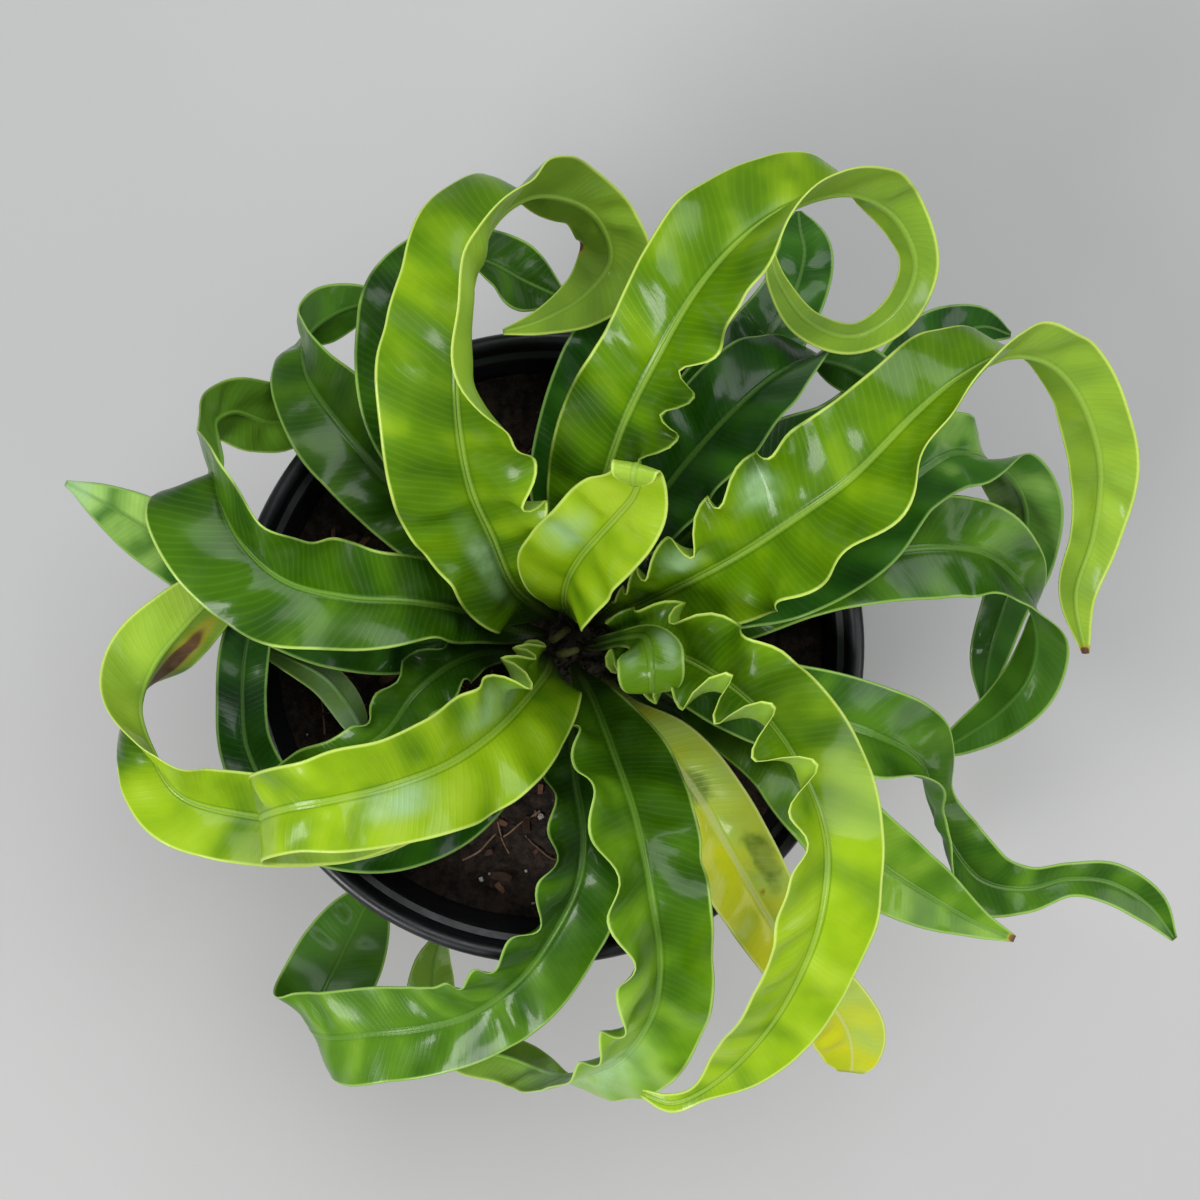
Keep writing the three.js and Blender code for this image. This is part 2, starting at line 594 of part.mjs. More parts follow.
// A closed geometry as a solid that can be cut and joined.
function solid(geometry) {
  const bare = geometry.clone();
  bare.deleteAttribute("normal");
  bare.deleteAttribute("uv");
  const merged = mergeVertices(bare, 1e-3);
  return new wasm.Manifold(
    new wasm.Mesh({
      numProp: 3,
      vertProperties: merged.attributes.position.array,
      triVerts: new Uint32Array(merged.index.array),
    }),
  );
}

function geometryOf(body) {
  const mesh = body.getMesh();
  const geometry = new THREE.BufferGeometry();
  geometry.setAttribute("position", new THREE.BufferAttribute(mesh.vertProperties, 3));
  geometry.setIndex(new THREE.BufferAttribute(mesh.triVerts, 1));
  return geometry;
}

// Radius of the pot's outer wall at a height.
function wallRadius(height) {
  const underLip = POT_RIM_RADIUS - RIM_LIP_THICKNESS;
  return THREE.MathUtils.mapLinear(height, 0, POT_HEIGHT, POT_BASE_RADIUS, underLip);
}

// The pot: a tapered wall with a thick rolled lip, a ledge inside it, a flat floor and drain slots.
function potGeometry() {
  const ledge = POT_HEIGHT - RIM_LIP_DEPTH;
  const inside = (height) => wallRadius(height) - POT_WALL;
  const profile = [
    [0, 0],
    [POT_BASE_RADIUS - 1.5, 0],
    [POT_BASE_RADIUS, 1.5],
    [wallRadius(ledge - 3), ledge - 3],
    [POT_RIM_RADIUS - 1, ledge],
    [POT_RIM_RADIUS, POT_HEIGHT - 2.2],
    [POT_RIM_RADIUS - 1.1, POT_HEIGHT - 0.5],
    [POT_RIM_RADIUS - 2.4, POT_HEIGHT],
    [POT_RIM_RADIUS - 3.6, POT_HEIGHT - 0.8],
    [POT_RIM_RADIUS - 4.2, ledge + 1],
    [inside(ledge) - 0.4, ledge - 1.5],
    [inside(ledge - 5), ledge - 5],
    [inside(POT_FLOOR + 4), POT_FLOOR + 4],
    [inside(POT_FLOOR) - 3, POT_FLOOR],
    [0, POT_FLOOR],
  ].map(([radius, height]) => new THREE.Vector2(radius, height));
  const body = new THREE.LatheGeometry(profile, POT_SEGMENTS).rotateX(Math.PI / 2);
  let pot = solid(body);
  for (let i = 0; i < DRAIN_SLOTS; i += 1) {
    const slot = new THREE.BoxGeometry(8, DRAIN_SLOT_WIDTH, DRAIN_SLOT_HEIGHT);
    slot.translate(POT_BASE_RADIUS, 0, POT_FLOOR + DRAIN_SLOT_HEIGHT / 2 + 1.5);
    slot.rotateZ((2 * Math.PI * (i + 0.5)) / DRAIN_SLOTS);
    pot = pot.subtract(solid(slot));
  }
  return geometryOf(pot);
}

// How much the soil's top stands above or below its level at a place.
function soilSwell(x, y) {
  return (
    SOIL_SWELL *
    (0.5 * Math.sin(x * 0.11 + 1.3) * Math.cos(y * 0.13) +
      0.3 * Math.sin(x * 0.31 - y * 0.27) +
      0.2 * Math.cos(x * 0.19 + y * 0.37 + 0.6))
  );
}

// The soil: it fills the pot, with a lumpy top, bark chips in it and a pocket for the crown.
function soilGeometry() {
  const foot = POT_FLOOR + CLEARANCE;
  const levels = [foot, foot + 5, SOIL_TOP];
  const radii = levels.map((height) => wallRadius(height) - POT_WALL - CLEARANCE / 0.9);
  radii[0] -= 3.4;
  const positions = [0, 0, foot];
  for (let level = 0; level < 2; level += 1) {
    pushRing(positions, radii[level], () => levels[level]);
  }
  for (let ring = SOIL_RINGS; ring > 0; ring -= 1) {
    pushRing(positions, (radii[2] * ring) / SOIL_RINGS, (x, y) => SOIL_TOP + soilSwell(x, y));
  }
  positions.push(0, 0, SOIL_TOP + soilSwell(0, 0));
  const index = [];
  const rings = SOIL_RINGS + 2;
  const first = (ring) => 1 + ring * SOIL_SEGMENTS;
  for (let k = 0; k < SOIL_SEGMENTS; k += 1) {
    const next = (k + 1) % SOIL_SEGMENTS;
    index.push(0, first(0) + next, first(0) + k);
    for (let ring = 0; ring < rings - 1; ring += 1) {
      const a = first(ring) + k;
      const b = first(ring) + next;
      const c = first(ring + 1) + next;
      const d = first(ring + 1) + k;
      index.push(a, b, c, a, c, d);
    }
    index.push(first(rings - 1) + k, first(rings - 1) + next, first(rings));
  }
  const ground = new THREE.BufferGeometry();
  ground.setAttribute("position", new THREE.Float32BufferAttribute(positions, 3));
  ground.setIndex(index);
  let body = solid(ground);
  for (const chip of barkChips()) body = body.add(solid(chip));
  return geometryOf(body.subtract(crownPocket()));
}

function pushRing(positions, radius, heightAt) {
  for (let k = 0; k < SOIL_SEGMENTS; k += 1) {
    const angle = (2 * Math.PI * k) / SOIL_SEGMENTS;
    const x = radius * Math.cos(angle);
    const y = radius * Math.sin(angle);
    positions.push(x, y, heightAt(x, y));
  }
}

// Bark chips, spread by the golden angle, each half sunk in the soil.
function barkChips() {
  const chips = [];
  for (let i = 0; i < BARK_CHIPS; i += 1) {
    const bearing = i * 2.39996;
    const reach = 34 + (32 * i) / BARK_CHIPS;
    const x = reach * Math.cos(bearing);
    const y = reach * Math.sin(bearing);
    const chip = new THREE.BoxGeometry(7 + (i % 3) * 2, 3.5 + (i % 2) * 1.5, 2.2);
    chip.rotateX(0.3 - 0.2 * (i % 4)).rotateZ(bearing * 1.7);
    chip.translate(x, y, SOIL_TOP + soilSwell(x, y) + 0.5);
    chips.push(chip);
  }
  return chips;
}

// The pocket in the soil, a little wider and deeper than the crown.
function crownPocket() {
  const depth = SOIL_TOP + 12 - CROWN_FOOT;
  const pocket = new THREE.CylinderGeometry(
    CROWN_RADIUS + CLEARANCE,
    CROWN_RADIUS + CLEARANCE,
    depth,
    32,
  ).rotateX(Math.PI / 2);
  pocket.translate(CROWN_X, CROWN_Y, CROWN_FOOT - CLEARANCE + depth / 2);
  return solid(pocket);
}

// The crown: a low rounded stock with two small coiled croziers, and a hole for each stipe.
function crownGeometry(stipes) {
  const profile = [
    [0, CROWN_FOOT],
    [CROWN_RADIUS - 1, CROWN_FOOT],
    [CROWN_RADIUS, CROWN_FOOT + 2],
    [CROWN_RADIUS, CROWN_SHOULDER - 1],
    [CROWN_RADIUS - 1.6, CROWN_SHOULDER + 1],
    [CROWN_RADIUS * 0.72, CROWN_TOP - 2.4],
    [CROWN_RADIUS * 0.4, CROWN_TOP - 0.6],
    [0, CROWN_TOP],
  ].map(([radius, height]) => new THREE.Vector2(radius, height));
  const stock = new THREE.LatheGeometry(profile, 24).rotateX(Math.PI / 2);
  stock.translate(CROWN_X, CROWN_Y, 0);
  let body = solid(stock);
  for (const [x, y, bearing] of [[-3.2, 0.6, 40], [-0.6, -3.2, 200]]) {
    const coil = new THREE.SphereGeometry(2.3, 9, 6);
    coil.scale(1, 0.7, 1).rotateZ(radians(bearing));
    coil.translate(CROWN_X + x, CROWN_Y + y, CROWN_TOP + 1.4);
    body = body.add(solid(coil));
  }
  for (const stipe of stipes) body = body.subtract(solid(stipe));
  return geometryOf(body);
}

function material(colour, roughness) {
  return new THREE.MeshStandardMaterial({ color: colour, roughness, metalness: 0, flatShading: true });
}

function named(name, geometry, finish) {
  const mesh = new THREE.Mesh(geometry, finish);
  mesh.name = name;
  return mesh;
}

const fern = new THREE.Group();
fern.name = "potted_fern";
fern.add(named("pot", potGeometry(), material(0x14151a, 0.45)));
fern.add(named("soil", soilGeometry(), material(0x241a14, 0.95)));

const holes = [];
for (const [name, ring, bearing, colour, waves, route] of FRONDS) {
  const points = guidePoints(ring, bearing, route);
  fern.add(named(name, frondGeometry(points, waves, 0), material(colour, 0.4)));
  holes.push(frondGeometry(points, waves, CLEARANCE, HOLE_LENGTH));
}
fern.add(named("crown", crownGeometry(holes), material(0x2a1d12, 0.9)));

export default fern;
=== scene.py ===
# A potted hurricane bird's nest fern: finely modelled fronds, pot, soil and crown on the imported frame.
# Lengths are in millimetres until a mesh is made, and in the frame's own axes.
import math

import bmesh
import bpy
import numpy as np
from mathutils import Matrix, Vector, noise
from random import Random


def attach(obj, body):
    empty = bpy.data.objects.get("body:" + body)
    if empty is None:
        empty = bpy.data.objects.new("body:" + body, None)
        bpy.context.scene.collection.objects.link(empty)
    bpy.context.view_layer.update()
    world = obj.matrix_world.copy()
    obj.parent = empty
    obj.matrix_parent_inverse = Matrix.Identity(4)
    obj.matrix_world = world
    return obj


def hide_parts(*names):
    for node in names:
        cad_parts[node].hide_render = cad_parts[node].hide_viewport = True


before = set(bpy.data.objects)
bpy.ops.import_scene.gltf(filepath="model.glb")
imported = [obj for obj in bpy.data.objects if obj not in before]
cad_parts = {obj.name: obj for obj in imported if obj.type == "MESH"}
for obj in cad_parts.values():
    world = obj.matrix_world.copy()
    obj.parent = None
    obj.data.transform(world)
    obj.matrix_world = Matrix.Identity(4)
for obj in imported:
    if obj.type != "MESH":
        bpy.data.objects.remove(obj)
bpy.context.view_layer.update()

MM = 0.001

# Pot, soil and crown
POT_HEIGHT = 122
POT_RIM_RADIUS = 82.5
POT_BASE_RADIUS = 60
POT_WALL = 1.8
POT_FLOOR = 2.4
RIM_LIP_DEPTH = 7
RIM_LIP_THICKNESS = 3.4
RIM_ROLL = 2.1
DRAIN_SLOTS = 8
DRAIN_SLOT_WIDTH = 9
DRAIN_SLOT_HEIGHT = 7
DRAIN_SLOT_SILL = 1.5
DRAIN_CUT_DEPTH = 8
POT_SEGMENTS = 192
POT_SHARP_EDGE = 32
CLEARANCE = 0.3
SOIL_TOP = 103
SOIL_SWELL = 1.6
SOIL_FOOT_SLOPE = 5
SOIL_SEGMENTS = 288
SOIL_RINGS = 66
GOLDEN_ANGLE = 2.39996
STUCK_CHIPS = 14
LOOSE_CHIPS = 420
WHITE_GRAINS = 64
FIBRES = 110
CROWN_X = 6
CROWN_Y = 2
CROWN_RADIUS = 19
CROWN_FOOT = 92
CROWN_SHOULDER = 105
CROWN_TOP = 111
CROWN_SEGMENTS = 72
CROWN_SCALES = 520
CROZIER_STEPS = 43

# Fronds
YOUNG_RING = 4.2
INNER_RING = 7.5
OUTER_RING = 14.5
ROOT_HEIGHT = 99
STIPE_TOP = 112
STIPE_HALF_WIDTH = 1.5
STIPE_THICKNESS = 2.6
STIPE_LENGTH = 26
STATION_STEP = 1.25
BLADE_THICKNESS = 0.55
MARGIN_THICKNESS = 0.42
BEAD = 0.26
RIB_WIDTH_AT_BASE = 1.35
RIB_WIDTH_AT_TIP = 0.45
RIB_ABOVE = 0.3
RIB_BELOW = 0.95
PUCKER_HEIGHT = 0.5
PUCKER_LENGTH = 15
VEIN_SLANT = 0.5
SIDE_VEIN_GAP = 1.7
CALM_WAVE_DEGREES = 7
CALM_WAVE_LENGTH = 26

# The eye of the photograph stands a little off the pot's axis, straight above the plant, and the
# routes below are drawn as it sees them, at the scale of the rim.
EYE_X = 13.62
EYE_Y = 12.32
EYE_HEIGHT = 550
LENS = 49.53

# Each frond: name, ring on the crown, compass place on it, finish, phase of its ruffles, length of its
# calm end and route. A route point is [u, v, height, half width, fold, tilt, side]: the fold lifts both
# margins, the tilt lifts the right one alone and turns the blade over past 90, and the side is the
# compass bearing of the right margin. Angles are in degrees.
FRONDS = [
    ["north", INNER_RING, 128, "bright", 330, 120, [
        [-8.5, 15.5, 136.5, 12.5, 26, 6, 42], [-14.5, 29, 153.5, 15.5, 22, 8, 26],
        [-20, 42, 170, 18, 22, 12, 16], [-23, 59, 183, 17.5, 22, 14, 5],
        [-23, 76, 191, 18, 25, 36, 0], [-20.5, 91, 193, 16.5, 28, 42, -10],
        [-15, 108.5, 190, 16.5, 28, 48, -36], [-5, 116.5, 182, 14, 30, 72, -66],
        [6.5, 115.4, 170, 9, 16, 128, -100], [13.8, 109.8, 159, 8.5, 12, 145, -142],
        [16.3, 100.2, 150, 10.5, 8, 152, -188], [9.5, 91, 144, 8, 5, 155, -225],
        [-1, 85, 140, 4, 5, 155, -246], [-11.5, 81.8, 138, 0.8, 5, 155, -252],
    ]],
    ["northeast", INNER_RING, 92, "bright", 0, 150, [
        [8.5, 19, 128.5, 6, 30, 0, -17], [14, 40, 158, 13, 25, 10, -18],
        [20, 58, 174, 14.5, 20, 18, -22], [28.5, 75, 185, 13, 20, 15, -30],
        [38.5, 92, 192, 14.5, 20, 22, -36], [50, 105, 195, 17, 22, 40, -48],
        [63, 114, 194, 16, 30, 55, -62], [78, 117.5, 189, 12, 32, 70, -84],
        [90, 111.5, 178, 7, 22, 125, -125], [95.5, 99, 168, 5.2, 15, 140, -175],
        [90.5, 87, 160, 4.8, 10, 150, -218], [79, 80.5, 154, 4.2, 10, 155, -262],
        [67, 84.7, 147, 4.4, 10, 155, -306], [59.8, 95, 142, 3, 8, 155, -338],
        [57.8, 103, 140, 0.9, 5, 155, -350],
    ]],
    ["east", INNER_RING, 30, "bright", 20, 90, [
        [21, 9.8, 126.5, 5, 30, 0, -60], [36, 17, 148, 13, 28, -12, -60],
        [50, 24.5, 161, 16, 25, -12, -60], [63, 32.5, 172, 18, 20, 14, -54],
        [79, 44, 182, 16.5, 20, 18, -52], [95, 60, 187, 13.5, 20, 22, -50],
        [107.5, 70, 188, 14, 25, 44, -60], [120, 75.5, 184, 11.5, 28, 76, -76],
        [131.5, 72.5, 177, 10, 26, 108, -105], [139.5, 61.5, 168, 9, 18, 132, -148],
        [143.4, 46, 158, 8.6, 12, 145, -174], [141.6, 29, 148, 6.2, 10, 148, -190],
        [137, 13.5, 140, 4.7, 10, 148, -188], [139.5, -1.5, 134, 0.9, 5, 150, -176],
    ]],
    ["southeast", INNER_RING, 352, "bright", 90, 110, [
        [20.5, 1, 136, 8, 26, -4, -94], [33, -1.5, 154, 13, 26, 2, -102],
        [46, -9, 170, 13.5, 30, 16, -122], [58.5, -21, 181, 14.3, 32, 28, -141],
        [67.5, -36.5, 189, 14.5, 32, 34, -160], [72, -52, 193, 12.8, 22, 27, -178],
        [71, -68, 192, 12.5, 18, 20, -187], [66.5, -82, 186, 11.5, 18, 22, -198],
        [59, -96, 177, 10.5, 18, 22, -208], [49.5, -107.5, 167, 7, 15, 10, -220],
        [40, -115, 159, 2.4, 12, 10, -240], [32, -118, 154, 2.2, 10, 0, -270],
        [24.5, -115.5, 151, 0.9, 5, 0, -292],
    ]],
    ["south", INNER_RING, 278, "fresh", 200, 110, [
        [12, -14, 128, 6, 28, 0, -165], [17.5, -29, 145, 12.8, 24, 20, -162],
        [22, -42, 158, 14, 20, 24, -166], [25, -55, 165, 14, 20, 26, -173],
        [27.5, -69, 166, 13.5, 20, 24, -179], [29, -83, 161, 13, 20, 30, -187],
        [26.5, -96, 150, 13.5, 22, 28, -206], [17.5, -107.5, 134, 12.5, 26, 36, -234],
        [4, -111, 114, 10, 24, 74, -262], [-9, -106.5, 98, 7.5, 14, 132, -285],
        [-21, -103, 89, 7.5, 10, 152, -300], [-29, -94, 83, 7.5, 8, 155, -340],
        [-29.5, -83, 78, 6, 6, 155, -368], [-27, -73, 75, 0.9, 5, 155, -375],
    ]],
    ["southwest", INNER_RING, 222, "bright", 150, 90, [
        [-1.5, -8, 132, 10.5, 30, 0, 134], [-12, -20, 154, 15.5, 28, 12, 126],
        [-25, -29.5, 169, 15.5, 22, 14, 112], [-40, -35.5, 179, 13.5, 20, 12, 103],
        [-54, -39, 184, 12, 16, 12, 98], [-67, -41.5, 182, 10, 12, 10, 99],
        [-74, -44, 173, 9.5, 8, 0, 98], [-72, -45.5, 163, 9.5, 4, 0, 96],
        [-62, -46, 157, 9.5, 0, 0, 94], [-50, -46, 154, 8.5, 0, 0, 92],
        [-38, -45, 152, 5, 0, 0, 88], [-30, -43, 151, 0.9, 0, 0, 86],
    ]],
    ["west", INNER_RING, 172, "fresh", 0, 120, [
        [-10.5, 5, 121, 4.2, 24, 0, 82], [-22, 9.5, 134, 9, 25, -8, 82],
        [-36, 11.8, 146, 11.5, 22, -12, 84], [-52, 13, 153, 13.5, 22, -5, 78],
        [-68, 17.5, 158, 16, 24, 18, 66], [-79.5, 28, 159, 17.5, 32, 26, 42],
        [-85, 41, 156, 18, 40, 40, 8], [-84.5, 48, 151, 11, 30, 84, -2],
        [-85.5, 53.5, 143, 8.5, 22, 98, -8], [-86, 58.5, 134, 8, 16, 118, -34],
        [-81, 61, 125, 9, 12, 140, -78], [-73, 58.8, 117, 10.5, 8, 150, -100],
        [-65.5, 59.5, 111.5, 8.5, 6, 152, -84], [-59, 64.5, 108, 0.9, 5, 152, -58],
    ]],
    ["young_rolled", YOUNG_RING, 62, "bright", 0, 60, [
        [5, 11, 136, 5, 30, 0, -30], [5.5, 17, 150, 13, 28, 18, -31],
        [8.5, 23, 163, 13, 24, 12, -35], [13.5, 29, 175, 12, 20, 8, -40],
        [18.5, 34.5, 184, 11.4, 16, 6, -42], [22.3, 39.2, 190, 9.4, 12, 2, -36],
        [23.8, 43.6, 195.5, 6.6, 8, 0, -24], [23.4, 47.3, 201, 5.2, 5, 0, -15],
        [22.6, 46.8, 204.5, 4.8, 4, 0, -12], [22.2, 43.6, 203, 4.2, 3, 0, -12],
        [22.4, 42, 199.5, 0.9, 2, 0, -12],
    ]],
    ["young_curled", YOUNG_RING, 335, "fresh", 0, 20, [
        [13.5, 1, 139, 1.8, 10, 0, -90], [19.5, 2.4, 157, 2, 4, 0, -102],
        [24.6, 2.8, 169, 4.2, -4, 0, -140], [26.3, 0, 175.5, 7.2, -8, 0, -166],
        [26.8, -4.2, 178.5, 7.5, -10, 0, -174], [27, -8.4, 178, 7.4, -8, 0, -176],
        [27, -11, 175, 6.6, -6, 0, -176], [27, -11.6, 171.5, 4.6, -2, 0, -176],
        [27, -11.2, 169.5, 0.9, 0, 0, -176],
    ]],
    ["low_northwest", OUTER_RING, 143, "deep", 60, 60, [
        [-17, 19, 120, 3.4, 18, 0, 47], [-29, 30, 127, 10, 15, 0, 45],
        [-42, 44, 131, 12.5, 15, 0, 40], [-54, 58, 131, 13, 15, 5, 30],
        [-62, 70, 127, 10, 20, 22, 15], [-62.5, 80, 119, 8.5, 30, 80, -22],
        [-56, 86, 111, 8, 15, 145, -60], [-47.5, 89, 105, 5, 8, 150, -78],
        [-41, 89, 102, 0.9, 5, 150, -85],
    ]],
    ["low_north", OUTER_RING, 122, "deep", 0, 60, [
        [-12, 25, 122, 3.4, 18, 0, 28], [-23, 41, 137, 10, 18, 0, 22],
        [-34, 59, 147, 12, 18, 0, 10], [-38, 76, 149, 11.5, 18, -8, -4],
        [-35.5, 91, 146, 11, 20, 8, -20], [-27.5, 100.5, 140, 9, 22, 30, -52],
        [-16, 100, 133, 8.5, 18, 20, -92], [-6, 95, 127, 8.5, 10, 10, -112],
        [5, 90, 122, 1, 5, 5, -115],
    ]],
    ["low_north_narrow", OUTER_RING, 100, "dark", 80, 30, [
        [3, 24, 119, 3.4, 15, 0, -3], [4, 42, 130, 8.5, 15, 0, -8],
        [8, 60, 136, 9.5, 15, 0, -16], [14.5, 76, 138, 9.5, 15, 0, -26],
        [21, 88, 136, 6, 12, 0, -32], [26, 96, 133, 0.9, 8, 0, -34],
    ]],
    ["low_northeast", OUTER_RING, 62, "dark", 30, 60, [
        [16, 23, 121, 3.4, 20, 0, -35], [26, 35, 133, 10, 18, 5, -38],
        [37, 49, 141, 12, 18, 12, -42], [49, 62, 145, 13, 18, 18, -46],
        [60, 71, 143, 12.5, 22, 38, -60], [69.5, 74.5, 137, 9.5, 30, 82, -86],
        [79, 72, 131, 7.5, 15, 145, -114], [88, 66, 128, 6, 10, 150, -130],
        [93, 58.5, 127, 0.9, 8, 150, -150],
    ]],
    ["under_northeast", OUTER_RING, 80, "dark", 0, 30, [
        [13, 25, 114, 3.2, 12, 0, -25], [25, 43, 121, 8.5, 12, 0, -31],
        [40, 61, 126, 10, 12, 0, -34], [54, 77, 127, 10, 12, 0, -28],
        [63, 90, 124, 8.5, 10, 0, -17], [66.5, 101, 119, 7.5, 8, 0, -6],
        [65.5, 108.5, 116, 5, 6, 0, 4], [65, 113, 114, 1, 4, 0, 6],
    ]],
    ["under_east", OUTER_RING, 44, "dark", 40, 30, [
        [26, 19, 115, 3.2, 15, 0, -45], [42, 34, 121, 8.5, 15, 0, -48],
        [58, 48, 124, 9.5, 15, 0, -50], [75, 56, 123, 8, 15, 0, -56],
        [89, 66, 119, 9, 12, 0, -48], [101, 78, 114, 9.5, 12, 10, -48],
        [112, 83, 110, 6, 8, 10, -75], [120, 81, 107, 0.9, 5, 10, -95],
    ]],
    ["low_east", OUTER_RING, 26, "dark", 0, 100, [
        [27, 8, 117, 3.2, 15, 0, -78], [45, 14, 126, 9.5, 15, 0, -75],
        [64, 19, 131, 11, 15, 0, -70], [80, 28, 133, 11, 15, 8, -55],
        [92, 41, 132, 10.5, 15, 20, -50], [103, 49.5, 129, 10.5, 18, 10, -78],
        [110, 49.8, 126, 10.2, 18, 28, -94], [115.5, 47.5, 122, 9.5, 18, 92, -114],
        [120.5, 43.5, 118, 9.5, 14, 136, -138], [124, 35, 112, 9.5, 10, 145, -166],
        [123, 22, 105, 8, 8, 150, -184], [118.5, 11, 99, 6.4, 10, 158, -190],
        [114.3, -3, 93, 5, 8, 165, -184], [113, -14.5, 88, 0.9, 5, 165, -184],
    ]],
    ["low_east_broad", OUTER_RING, 8, "deep", 0, 90, [
        [28, 3, 114, 3.2, 12, 0, -84], [46, 9, 118, 8.5, 12, 0, -80],
        [66, 18, 123, 10.5, 12, 0, -77], [85, 24, 126, 12.5, 12, 0, -82],
        [102, 26, 125.5, 13.5, 15, 0, -90], [114.5, 23.5, 122, 12.5, 20, 16, -112],
        [123.5, 14, 118, 10, 26, 48, -136], [127, 2.5, 113, 9, 20, 110, -168],
        [124.5, -8.5, 108, 8.4, 12, 140, -205], [117, -17, 104, 7, 10, 150, -230],
        [107.5, -23.5, 101, 4.4, 8, 155, -238], [100, -28, 99, 0.9, 5, 155, -240],
    ]],
    ["low_southeast_tail", OUTER_RING, 350, "deep", 0, 40, [
        [28, -6, 117, 3.2, 15, 0, -102], [46, -11, 126, 9.5, 15, 0, -104],
        [66, -17, 131, 12, 15, 8, -104], [84, -22.5, 132, 12.5, 18, 22, -108],
        [96, -29.5, 128, 12.8, 24, 34, -128], [99.5, -40, 121, 7, 28, 44, -162],
        [104, -50.5, 114, 9, 26, 26, -150], [112, -60, 109, 9.5, 22, 4, -124],
        [123.5, -62.5, 106, 6.4, 16, 0, -97], [135, -60, 104, 4.6, 14, 0, -88],
        [146, -61, 102, 5.6, 12, 0, -108], [156, -67, 99, 4.8, 10, 0, -132],
        [162.5, -75.5, 96, 0.9, 8, 0, -146],
    ]],
    ["under_southeast", OUTER_RING, 332, "deep", 90, 30, [
        [25, -11, 113, 3.2, 12, 0, -115], [43, -16, 118, 8.5, 12, 0, -118],
        [59, -26, 124, 10.5, 12, 0, -134], [70, -40, 128, 10.5, 12, 0, -140],
        [85, -55, 125, 11, 12, 0, -132], [99, -64.5, 120, 8.5, 10, 0, -124],
        [111.5, -71.5, 115, 3.8, 8, 0, -122], [121, -75.5, 112, 0.9, 5, 0, -118],
    ]],
    ["old_yellow", OUTER_RING, 310, "yellowed", 0, 60, [
        [21, -16, 117, 3.2, 15, 0, -130], [31, -27, 126, 9, 15, 0, -138],
        [40, -40, 131, 11, 12, 0, -146], [48, -54, 132, 11, 12, 0, -150],
        [56, -68, 129, 10, 12, 0, -148], [64, -81, 123, 8.5, 12, 0, -148],
        [73, -91.5, 114, 9.5, 10, 0, -154], [78, -100, 107, 9.8, 6, 0, -168],
        [79, -107, 103, 7.2, 4, 0, -180], [78.5, -110, 101, 3.5, 2, 0, -184],
    ]],
    ["low_south", OUTER_RING, 268, "deep", 180, 120, [
        [6, -20, 118, 3.4, 20, 0, -180], [7, -34, 128, 9, 20, 12, -183],
        [9, -47, 135, 10.5, 20, 20, -186], [8, -60, 137, 12, 22, 24, -196],
        [2, -73, 133, 12.5, 22, 28, -214], [-7, -85.5, 126, 13, 20, 26, -228],
        [-19, -94.5, 118, 12.5, 16, 14, -246], [-32, -98.5, 111, 12.5, 12, 4, -262],
        [-45, -100, 105, 13, 8, 0, -260], [-56, -101, 98, 13.4, 4, 0, -250],
        [-61.5, -98.5, 88.5, 13.4, 0, 0, -236], [-58.5, -90, 80.5, 13, 0, 0, -220],
        [-52.5, -78, 77, 12, 0, 0, -212], [-47.5, -68, 75, 8, 0, 0, -210],
        [-44, -61, 74, 0.9, 0, 0, -210],
    ]],
    ["under_southwest", OUTER_RING, 249, "dark", 0, 60, [
        [-5, -24, 113, 3.2, 12, 0, 148], [-20, -40, 117, 8, 12, 0, 132],
        [-38, -48.5, 121, 9, 12, 0, 106], [-57, -47.5, 125, 9, 12, 0, 74],
        [-70, -39.5, 125.6, 8, 12, 0, 48], [-77.5, -27, 127, 7, 14, 0, 20],
        [-79, -13, 127, 6.5, 14, 0, 0], [-78, 0, 127, 6.5, 14, 0, -8],
        [-75, 11, 127, 5, 10, 0, -20], [-70, 20, 127, 0.9, 6, 0, -30],
    ]],
    ["southwest_loop", OUTER_RING, 230, "bright", 0, 60, [
        [-10, -19, 119, 3.4, 18, 0, 140], [-25, -33, 130, 8, 15, 0, 125],
        [-43, -42, 137, 10.5, 14, 0, 104], [-62, -44.5, 141, 11.5, 14, 0, 94],
        [-80, -43, 143, 12, 18, 6, 86], [-94.5, -38.5, 144, 12, 24, 20, 66],
        [-102, -28, 143, 12, 30, 45, 38], [-105.5, -15.5, 142, 11.5, 30, 90, 10],
        [-101.5, -4, 142, 12, 22, 138, -16], [-93.5, 6, 143, 10, 18, 150, -40],
        [-86, 13.5, 144, 7, 12, 155, -48], [-79, 20, 144, 0.9, 5, 160, -52],
    ]],
    ["under_west_narrow", OUTER_RING, 213, "fresh", 0, 40, [
        [-13, -14, 111, 3.0, 10, 0, 122], [-27, -25, 112, 4, 10, 0, 116],
        [-38, -32.5, 113, 4.2, 10, 20, 100], [-46, -29, 114, 4.4, 8, 60, 45],
        [-49.5, -19, 115, 5, 6, 125, 18], [-57, -8.5, 117, 5, 5, 140, 42],
        [-67, -3, 120, 4.2, 5, 130, 70], [-76, 0, 121, 0.9, 5, 130, 78],
    ]],
    ["wavy_west", OUTER_RING, 196, "deep", 0, 30, [
        [-17, -1.5, 120, 4.2, 22, 0, 108], [-26, -5, 130, 7.5, 24, 0, 118],
        [-34.5, -12, 136, 8.5, 22, 0, 130], [-42, -22, 136.5, 7.2, 20, 0, 128],
        [-53, -29, 134, 6, 16, 0, 112], [-63, -31, 131.5, 4.6, 12, 0, 98],
        [-70, -31.5, 130, 0.9, 8, 0, 92],
    ]],
    ["under_west", OUTER_RING, 166, "dark", 0, 30, [
        [-18, 4, 113, 3.2, 12, 0, 86], [-36, 2, 120, 8.5, 12, 0, 88],
        [-56, 4, 128, 9, 12, 0, 78], [-76, 13, 134, 9, 12, 0, 62],
